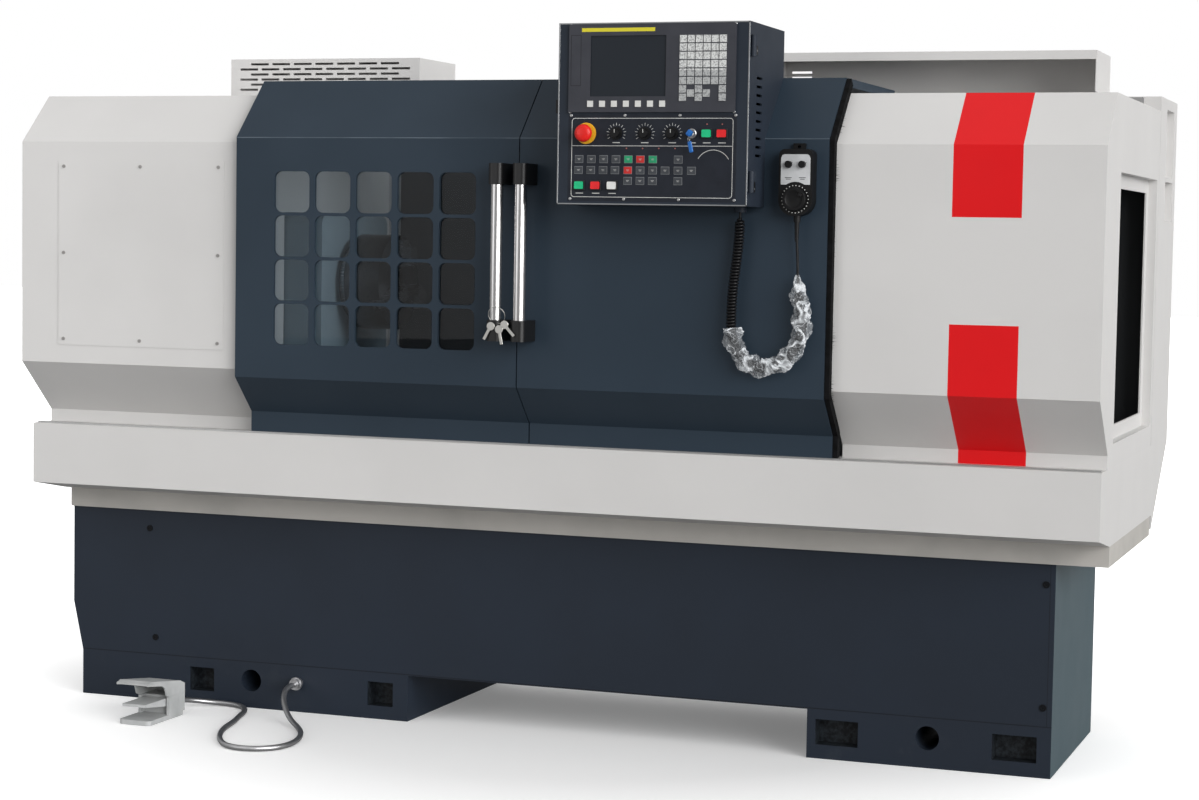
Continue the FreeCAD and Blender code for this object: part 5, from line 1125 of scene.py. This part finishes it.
class LATHE_OT_panel(bpy.types.Operator):
    """Build the membrane, its keys, lines, lamps and screws"""

    bl_idname = "lathe.panel"
    bl_label = "Operator's panel"

    def execute(self, context):
        sizes = context.scene.lathe_controls
        self.membrane()
        self.lines(sizes)
        self.keys(sizes)
        self.marks()
        self.screws()
        self.trim()
        return {"FINISHED"}

    def membrane(self):
        low, high = panel_point(27, 8), panel_point(431, 206, 0.5)
        sheet = block("panel_membrane", (low.x, high.y, low.z), (high.x, low.y, high.z), 0.0002, 1)
        deliver(sheet, "panel_door", plastic("membrane_print", (0.012, 0.015, 0.023), 0.5,
                gloss=0.25))

    def bar(self, name, a, b, c, d, out=0.9):
        """A flat printed bar between two places on the panel."""
        low, high = panel_point(a, c), panel_point(b, d, out)
        return block(name, (low.x, high.y, low.z), (high.x, low.y - 0.0004, high.z))

    def lines(self, sizes):
        width = sizes.line / MM
        white = plastic("print_white", (0.62, 0.62, 0.60), 0.5)
        bars = []
        left, right, low, high, middle = 35, 423, 17, 198, 134
        radius = 8
        for a, b, c, d in ((left + radius, right - radius, low, low + width),
                           (left + radius, right - radius, high - width, high),
                           (left, right, middle, middle + width),
                           (left, left + width, low + radius, high - radius),
                           (right - width, right, low + radius, high - radius)):
            bars.append(self.bar("line", a, b, c, d))
        for cx, cz, start in ((left + radius, low + radius, 180), (right - radius, low + radius, 270),
                              (right - radius, high - radius, 0), (left + radius, high - radius, 90)):
            bars.append(self.arc(cx, cz, radius - width / 2, start, 90, width))
        bars.append(self.arc(377, 84, 42, 30, 118, width))
        deliver(join(bars, "panel_lines"), "panel_door", white)

    def arc(self, across, height, radius, start, sweep, width):
        """A flat printed arc."""
        centre = panel_point(across, height, 0.7)
        angle = math.radians(start)
        steps = max(6, int(abs(sweep) * radius / 60))
        rings, faces = [], []
        for i in range(steps + 1):
            turn = angle + math.radians(sweep) * i / steps
            out = Vector((math.cos(turn), 0, math.sin(turn)))
            for reach, lift in ((-1, 0.0), (1, 0.0), (1, -0.0004), (-1, -0.0004)):
                rings.append(centre + out * (radius + reach * width / 2) * MM + Vector((0, lift, 0)))
        for i in range(steps):
            for k in range(4):
                a, b = i * 4 + k, i * 4 + (k + 1) % 4
                faces.append((a, a + 4, b + 4, b))
        faces.append((0, 1, 2, 3))
        faces.append(tuple(reversed(range(steps * 4, steps * 4 + 4))))
        return mesh_piece("arc", rings, faces)

    def keys(self, sizes):
        half = sizes.key / MM / 2
        plan = {
            "dark": [(x, 104) for x in (54, 84, 114, 144, 294)] + [(x,
                    79) for x in (53, 83, 113, 142, 203, 233, 263, 294, 326)]
                    + [(x, 55) for x in (173, 203, 233, 294)],
            "green": [(x, 104) for x in (174, 233)],
            "red": [(203, 104), (173, 79)],
        }
        shades = {"dark": (0.045, 0.050, 0.058), "green": (0.012, 0.30, 0.13), "red": (0.52, 0.018, 0.016)}
        for kind, places in plan.items():
            centre = panel_point(0, 0)
            low = centre + Vector((-half * MM, -0.0016, -half * 0.82 * MM))
            high = centre + Vector((half * MM, -0.0004, half * 0.82 * MM))
            first = block("key", low, high, 0.0005, 2)
            copies = scatter(first, places, "key_copy")
            deliver(join(copies, f"membrane_keys_{kind}"), "panel_door",
                    plastic(f"key_{kind}", shades[kind], 0.4))
        rim = half + 0.7
        places = [place for group in plan.values() for place in group]
        edges = [self.bar("outline", x - rim, x + rim, z - rim * 0.86, z + rim * 0.86) for x, z in places]
        deliver(join(edges, "key_outlines"), "panel_door",
                plastic("outline_grey", (0.20, 0.21, 0.22), 0.5))
        signs = []
        for kind, places in plan.items():
            for x, z in places:
                signs.append(self.bar("sign", x - 3.5, x + 3.5, z + 0.5, z + 1.4, 2.0))
                signs.append(self.bar("sign", x - 2.2, x + 2.2, z - 1.8, z - 1.0, 2.0))
        for x in (69, 144, 213, 279, 326, 361, 397):
            signs.append(self.bar("sign", x - 9, x + 9, 141, 143))
        for x in (56, 96, 136):
            signs.append(self.bar("sign", x - 9, x + 9, 25, 27))
        deliver(join(signs, "key_signs"), "panel_door",
                plastic("sign_white", (0.5, 0.5, 0.49), 0.5))

    def marks(self):
        """Tick marks around the knobs and small lamps above the keys."""
        ticks = []
        for across in (144, 213, 279):
            for number in range(13):
                angle = math.radians(-30 + 20 * number)
                way = Vector((math.cos(angle), 0, math.sin(angle)))
                centre = panel_point(across, 163, 0.7)
                side = way.cross(Vector((0, 1, 0))) * 0.00045
                a, b = centre + way * 0.0180, centre + way * (0.0225 if number % 2 else 0.0240)
                lift = Vector((0, -0.0004, 0))
                corners_flat = [a - side, b - side, b + side, a + side]
                points = corners_flat + [corner + lift for corner in corners_flat]
                faces = [(0, 1, 2, 3), (7, 6, 5, 4), (0, 4, 5, 1), (1, 5, 6, 2), (2, 6, 7, 3), (3, 7, 4, 0)]
                ticks.append(mesh_piece("tick", points, faces))
        piece = join(ticks, "knob_ticks")
        face_outwards(piece)
        deliver(piece, "panel_door", shared("tick_white"))
        first = drum("lamp", panel_point(0, 0, 1.0), "y", 0.0017, 0.0016, 0.0004, 20, 2)
        places = [(169, 129), (208, 129), (247, 129), (286, 129), (361, 184), (397, 184)]
        lamps = scatter(first, places, "lamp_copy")
        deliver(join(lamps, "indicator_lamps"), "panel_door",
                plastic("lamp_dot", (0.30, 0.10, 0.09), 0.3))
        plate = drum("stop_ring", panel_point(70, 163, 1.0), "y", 0.0245, 0.0022, 0.0006, 56, 2)
        deliver(plate, "panel_door", plastic("ring_yellow", (0.72, 0.36, 0.01), 0.35))

    def screws(self):
        first = turned_piece("screw", panel_point(0, 0), [(0.0034, 0.0), (0.0034, 0.0010), (0.0026, 0.0017),
                (0.0012, 0.0018), (0.0010, 0.0009)], 24)
        places = [(x, z) for z in (204, 13) for x in (33, 164, 296, 428)]
        places += [(x, z) for z in (409, 212) for x in (30, 424)]
        pieces = scatter(first, places, "screw_copy")
        deliver(join(pieces, "panel_screws"), "panel_door", screw_steel())

    def trim(self):
        """Light edge of the panel door, its hinges, and its latch on the left side."""
        low = Vector((PANEL_LOW.x, PANEL_HIGH.y - 0.0004, PANEL_LOW.z))
        edge = []
        right = BOX_RIGHT
        for a, b in (((low.x, low.z), (right, low.z + 0.003)),
                     ((low.x, PANEL_HIGH.z - 0.003), (right, PANEL_HIGH.z)),
                     ((low.x, low.z), (low.x + 0.003, PANEL_HIGH.z)), ((right - 0.003, low.z),
                             (right, PANEL_HIGH.z))):
            edge.append(block("edge", (a[0], PANEL_LOW.y - 0.0008, a[1]), (b[0], PANEL_LOW.y, b[1]), 0.0003,
                              1))
        deliver(join(edge, "panel_edge"), "panel_door",
                steel("edge_alloy", (0.36, 0.37, 0.38), 0.35, (300, 300, 300)))
        self.hinges()
        latch_centre = Vector((BOX_LOW.x - 0.004, PANEL_LOW.y + 0.012, PANEL_LOW.z + 0.225))
        latch = block("panel_latch", latch_centre - Vector((0.004, 0.007, 0.016)),
                      latch_centre + Vector((0.004, 0.007, 0.016)), 0.002)
        deliver(latch, "panel_door", shared("latch_black"))

    def hinges(self):
        """Black hinge leaves on the box's right side, with light screws."""
        leaves, screws = [], []
        for level in (PANEL_HIGH.z - 0.052, PANEL_LOW.z + 0.052):
            low = Vector((BOX_RIGHT, PANEL_HIGH.y + 0.006, level - 0.020))
            leaves.append(block("leaf", low, low + Vector((0.0035, 0.030, 0.040)), 0.0008, 2))
            for depth in (0.009, 0.022):
                for rise in (0.008, 0.032):
                    spot = low + Vector((0.0038, depth, rise))
                    screws.append(drum("head", spot, "x", 0.0024, 0.0012, 0.0003, 16, 2))
        deliver(join(leaves, "hinge_leaves"), "right_door", shared("latch_black"))
        deliver(join(screws, "hinge_screws"), "right_door", screw_steel())


class LATHE_OT_controls(bpy.types.Operator):
    """Turn the stop button, the knobs, the key and the pendant's pieces"""

    bl_idname = "lathe.controls"
    bl_label = "Stop, knobs and key"

    def execute(self, context):
        sizes = context.scene.lathe_controls
        self.stop()
        self.knobs(sizes)
        self.key()
        self.button_rims()
        self.pendant()
        return {"FINISHED"}

    def stop(self):
        centre = panel_point(69, 163)
        profile = [(0.0012, 0.0180), (0.0125, 0.0180), (0.0125, 0.0105), (0.0160, 0.0105), (0.0198, 0.0125),
                   (0.0205, 0.0160),
                   (0.0200, 0.0200), (0.0180, 0.0238), (0.0144, 0.0262), (0.0095,
                           0.0275), (0.0050, 0.02795), (0.0012, 0.0280)]
        cap = turned_piece("stop_button", centre, profile, 56)
        deliver(cap, "stop", shared("stop_red"))
        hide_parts("emergency_stop")
        collar = turned_piece("stop_collar", centre, [(0.0115, 0.0008), (0.0115, 0.0104), (0.0108, 0.0112),
                (0.0012, 0.0112)], 48)
        deliver(collar, "panel_door", shared("latch_black"))

    def knobs(self, sizes):
        for number, across in ((1, 144), (2, 213), (3, 279)):
            centre = panel_point(across, 163)
            skirt = turned_piece("skirt", centre, [(0.0148, 0.0004), (0.0150, 0.0030), (0.0142, 0.0048),
                    (0.0110, 0.0052)], 48)
            grip = turned_piece("grip", centre, [(0.0108, 0.0048), (0.0104, 0.0145), (0.0096, 0.0158),
                    (0.0040, 0.0160), (0.0012, 0.0160)], sizes.flutes * 4)
            only(grip)
            for vertex in grip.data.vertices:
                place = vertex.co - centre
                angle = math.atan2(place.z, place.x)
                if math.hypot(place.x, place.z) > 0.009:
                    wave = 1 - 0.035 * (1 + math.cos(angle * sizes.flutes)) / 2
                    vertex.co = centre + Vector((place.x * wave, place.y, place.z * wave))
            knob = join([skirt, grip], f"fluted_knob_{number}")
            deliver(knob, f"knob_{number}", shared("knob_black"))
            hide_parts(f"override_knob_{number}")
            line = block(f"knob_line_{number}", centre + Vector((-0.0006, -0.0164, 0.001)),
                         centre + Vector((0.0006, -0.0158, 0.0092)))
            deliver(line, f"knob_{number}", shared("tick_white"))

    def key(self):
        centre = panel_point(326, 163)
        lock = turned_piece("lock", centre, [(0.0110, 0.0004), (0.0110, 0.0050), (0.0095, 0.0062),
                (0.0050, 0.0062), (0.0044, 0.0058)], 40)
        blade = block("blade", centre + Vector((-0.0011, -0.0150, -0.0030)),
                      centre + Vector((0.0011, -0.0055, 0.0030)), 0.0003, 1)
        lock = join([lock, blade], "key_lock")
        deliver(lock, "key", screw_steel())
        bow = block("key_bow", centre + Vector((-0.0062, -0.0280, -0.0072)),
                    centre + Vector((0.0062, -0.0140, 0.0072)), 0.0034, 3)
        turn_about(bow, centre, 0.6, "Y")
        deliver(bow, "key", shared("key_blue"))
        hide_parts("switch_key")
        ring_piece = ring("key_ring", centre + Vector((0, -0.0245, -0.0142)), "x", 0.0068, 0.0006, 32, 8)
        deliver(ring_piece, "key", screw_steel())
        spare = block("spare_key", centre + Vector((-0.0080, -0.0262, -0.0440)),
                      centre + Vector((0.0016, -0.0210, -0.0180)), 0.0024, 3)
        turn_about(spare, centre, -0.22, "Y")
        deliver(spare, "key", shared("key_blue"))

    def button_rims(self):
        rims = []
        for node in ("power_on_button", "power_off_button", "cycle_start_button", "feed_hold_button",
                     "lamp_button"):
            low, high = corners(node)
            face = PANEL_LOW.y
            outer = block("rim", (low.x - 0.0026, face - 0.0042, low.z - 0.0026),
                          (high.x + 0.0026, face, high.z + 0.0026), 0.0009, 2)
            inner = block("hole", (low.x - 0.0004, face - 0.006, low.z - 0.0004),
                          (high.x + 0.0004, face - 0.0008, high.z + 0.0004))
            apply(outer, "BOOLEAN", object=inner, operation="DIFFERENCE")
            bpy.data.objects.remove(inner)
            rims.append(outer)
        deliver(join(rims, "button_rims"), "panel_door",
                plastic("rim_black", (0.016, 0.016, 0.017), 0.3))

    def pendant(self):
        low, high = PENDANT_LOW, PENDANT_HIGH
        face = low.y
        middle = (low.x + high.x) / 2
        wheel_low, wheel_high = corners("pendant_wheel")
        centre = Vector((middle, face, (wheel_low.z + wheel_high.z) / 2))
        self.plate(centre, high.z - 0.026)
        dial = turned_piece("pendant_dial", centre, [(0.0375, 0.0), (0.0375, 0.0002), (0.0365, 0.00028),
                (0.0200, 0.00029)], 64)
        deliver(dial, "right_door", plastic("dial_black", (0.004, 0.004, 0.0045), 0.4,
                gloss=0.25))
        wheel = turned_piece("pendant_handwheel", centre, [(0.0262, 0.0005), (0.0270, 0.0025),
                (0.0270, 0.0115), (0.0256, 0.0138), (0.0200, 0.0140), (0.0175,
                0.0122), (0.0050, 0.0120), (0.0012, 0.0120)], 72)
        knob = turned_piece("pendant_crank", centre + Vector((0.016, 0, 0.009)),
                            [(0.0034, 0.011), (0.0040, 0.016), (0.0042, 0.0232), (0.0030, 0.0256),
                             (0.0012, 0.0258)], 28)
        wheel = join([wheel, knob], "pendant_handwheel")
        deliver(wheel, "pendant_wheel", shared("knob_black"))
        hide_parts("pendant_wheel")
        dots = []
        first = drum("dot", centre + Vector((0, -0.0010, 0)), "y", 0.0012, 0.0012, 0, 8)
        for number in range(25):
            angle = math.tau * number / 25
            dots.append(copy_at(first, Vector((math.cos(angle), 0, math.sin(angle))) * 0.0312, "dot_copy"))
        bpy.data.objects.remove(first)
        deliver(join(dots, "dial_dots"), "right_door", shared("tick_white"))
        back = high.y
        strap = block("pendant_hook", (middle - 0.011, back - 0.010, high.z - 0.006),
                      (middle + 0.011, back - 0.0002, high.z - 0.0002), 0.002)
        deliver(strap, "right_door", shared("latch_black"))
        boot = turned_boot("pendant_boot", Vector(LEAD_ROUTE[0]) + Vector((0, 0, 0.014)), 0.0072, 0.0044,
                           0.058)
        deliver(boot, "right_door", shared("lead_black"))

    def plate(self, centre, top):
        """Light face plate whose lower edge bends around the wheel, with rows of small print."""
        half, reach, round_by, count = 0.0345, 0.0395, 0.009, 24
        points, faces = [], []
        for number in range(count + 1):
            across = -half + 2 * half * number / count
            inner = max(0.0, abs(across) - (half - round_by))
            crest = top - round_by + math.sqrt(max(0.0, round_by ** 2 - inner ** 2))
            foot = max(centre.z + 0.0330, centre.z + math.sqrt(max(0.0, reach ** 2 - across ** 2)))
            for out in (0.0, 0.0009):
                points += [Vector((centre.x + across, centre.y - out, foot)),
                           Vector((centre.x + across, centre.y - out, crest))]
        for number in range(count):
            a, b = 4 * number, 4 * number + 4
            faces += [(a, a + 1, b + 1, b), (a + 2, b + 2, b + 3, a + 3), (a, b, b + 2, a + 2),
                      (a + 1, a + 3, b + 3, b + 1)]
        last = 4 * count
        faces += [(0, 2, 3, 1), (last, last + 1, last + 3, last + 2)]
        piece = mesh_piece("pendant_plate", points, faces)
        apply(piece, "BEVEL", width=0.0002, segments=1, limit_method="ANGLE")
        deliver(piece, "right_door", plastic("plate_light", (0.56, 0.57, 0.58), 0.35))
        rows = []
        for height, width in ((0.049, 0.016), (0.0455, 0.011), (0.083, 0.018)):
            for side in (-1, 1):
                spot = Vector((centre.x + side * 0.0165, centre.y - 0.0011, centre.z + height))
                reach_out = Vector((width / 2, 0.0003, 0.0007))
                rows.append(block("print", spot - reach_out, spot + reach_out))
        deliver(join(rows, "plate_print"), "right_door",
                plastic("print_black", (0.04, 0.04, 0.045), 0.5))


def turned_boot(name, top, wide, narrow, long):
    """A ribbed tapered sleeve hanging below a point."""
    clear()
    bpy.ops.mesh.primitive_cone_add(vertices=28, radius1=narrow, radius2=wide, depth=long,
            location=top - Vector((0, 0, long / 2)))
    item = settle(name)
    bpy.ops.object.mode_set(mode="EDIT")
    for number in range(1, 9):
        bpy.ops.mesh.select_all(action="SELECT")
        bpy.ops.mesh.bisect(plane_co=top - Vector((0, 0, long * number / 9)), plane_no=(0, 0, 1))
    bpy.ops.object.mode_set(mode="OBJECT")
    for vertex in item.data.vertices:
        place = vertex.co - top
        level = round(-place.z / long * 9)
        if 0 < level < 9 and level % 2:
            vertex.co.x = top.x + place.x * 0.82
            vertex.co.y = top.y + place.y * 0.82
    return smooth(item, 30)


# ------------------------------------------------------------------ doors, seal, keys, foot switch


class LATHE_OT_seal(bpy.types.Operator):
    """Grow the ragged brush along the right door's edge"""

    bl_idname = "lathe.seal"
    bl_label = "Brush seal"

    def execute(self, context):
        low, high = corners("brush_seal")
        outer = [Vector((0, DOOR_LOW.y + 0.093, low.z + 0.004)),
                 Vector((0, DOOR_LOW.y + 0.093, DOOR_LOW.z + 0.0485)),
                 Vector((0, DOOR_LOW.y + 0.003, DOOR_LOW.z + 0.1435)), Vector((0, DOOR_LOW.y + 0.003,
                         DOOR_FOLD)),
                 Vector((0, DOOR_LOW.y + 0.1465, DOOR_HIGH.z - 0.004))]
        random.seed(11)
        points, faces = [], []
        for a, b in zip(outer, outer[1:]):
            way = (b - a).normalized()
            inward = Vector((0, way.z, -way.y))
            count = int((b - a).length / 0.0030)
            for number in range(count):
                for layer in range(2):
                    root = a + (b - a) * ((number + random.uniform(-0.4, 0.4)) / count)
                    depth = random.uniform(0.002, 0.018)
                    root = root + inward * depth
                    drift = 0.5 + 0.5 * math.sin(root.z * 31 + 2 * math.sin(root.z * 13)) * math.sin(root.z * 7 + 1)
                    reach = (0.010 + 0.016 * drift) * random.uniform(0.55, 1.0)
                    tip = root + Vector((reach, random.uniform(-0.0025, 0.0025),
                                         random.uniform(-0.0045, 0.0045)))
                    thick = 0.0010
                    base = len(points)
                    x = low.x - 0.0005
                    for dy, dz in ((-thick, -thick), (thick, -thick), (thick, thick), (-thick, thick)):
                        points.append(Vector((x, root.y + dy, root.z + dz)))
                    points.append(Vector((low.x + tip.x, tip.y, tip.z)))
                    faces += [(base, base + 4, base + 1), (base + 1, base + 4, base + 2),
                              (base + 2, base + 4, base + 3), (base + 3, base + 4, base),
                              (base, base + 1, base + 2, base + 3)]
        piece = mesh_piece("seal_bristles", points, faces)
        face_outwards(piece)
        deliver(piece, "right_door", brush_finish())
        return {"FINISHED"}


class LATHE_OT_door_keys(bpy.types.Operator):
    """Hang the bunch of keys at the lower end of the left handle"""

    bl_idname = "lathe.door_keys"
    bl_label = "Door keys"

    def execute(self, context):
        middle = (HANDLE_LOW.x + HANDLE_HIGH.x) / 2
        centre = Vector((middle + 0.012, HANDLE_LOW.y - 0.003, HANDLE_LOW.z + 0.062))
        steel_finish = steel("key_steel", (0.62, 0.61, 0.58), 0.25, (300, 300, 300))
        loop = ring("key_loop", centre, "y", 0.021, 0.0007, 48, 8)
        turn_about(loop, centre, 0.35, "X")
        pieces = [loop]
        for turn, drop in ((0.5, 0.030), (-0.2, 0.034), (-0.75, 0.030)):
            bow = drum("bow", centre + Vector((0, -0.001, -drop)), "y", 0.010, 0.0018, 0.0004, 28, 1)
            blade = block("blade", centre + Vector((-0.0035, -0.0019, -drop - 0.036)),
                          centre + Vector((0.0035, -0.0001, -drop - 0.008)), 0.0003, 1)
            key = join([bow, blade], "key")
            turn_about(key, centre, turn, "Y")
            pieces.append(key)
        deliver(join(pieces, "door_keys"), "left_door", steel_finish)
        return {"FINISHED"}


class LATHE_PT_panel(bpy.types.Panel):
    bl_label = "Turning lathe"
    bl_space_type = "VIEW_3D"
    bl_region_type = "UI"
    bl_category = "Lathe"

    def draw(self, context):
        layout = self.layout
        for group in ("lathe_paint", "lathe_controls", "lathe_cords"):
            settings = getattr(context.scene, group)
            for key in settings.__annotations__:
                layout.prop(settings, key)
        for operator in OPERATORS:
            layout.operator(operator.bl_idname)


GROUPS = {"lathe_paint": LathePaint, "lathe_controls": LatheControls, "lathe_cords": LatheCords}
OPERATORS = [LATHE_OT_stage, LATHE_OT_cords, LATHE_OT_finishes, LATHE_OT_panel, LATHE_OT_controls,
             LATHE_OT_seal, LATHE_OT_door_keys]


def register():
    for group in GROUPS.values():
        bpy.utils.register_class(group)
    for operator in OPERATORS:
        bpy.utils.register_class(operator)
    bpy.utils.register_class(LATHE_PT_panel)
    for name, group in GROUPS.items():
        setattr(bpy.types.Scene, name, PointerProperty(type=group))


def unregister():
    for name in GROUPS:
        delattr(bpy.types.Scene, name)
    for item in [LATHE_PT_panel, *OPERATORS, *GROUPS.values()]:
        bpy.utils.unregister_class(item)


def main():
    register()
    bpy.ops.lathe.stage()
    bpy.ops.lathe.cords()
    bpy.ops.lathe.finishes()
    bpy.ops.lathe.panel()
    bpy.ops.lathe.controls()
    bpy.ops.lathe.seal()
    bpy.ops.lathe.door_keys()
    clear()


if __name__ == "__main__":
    main()
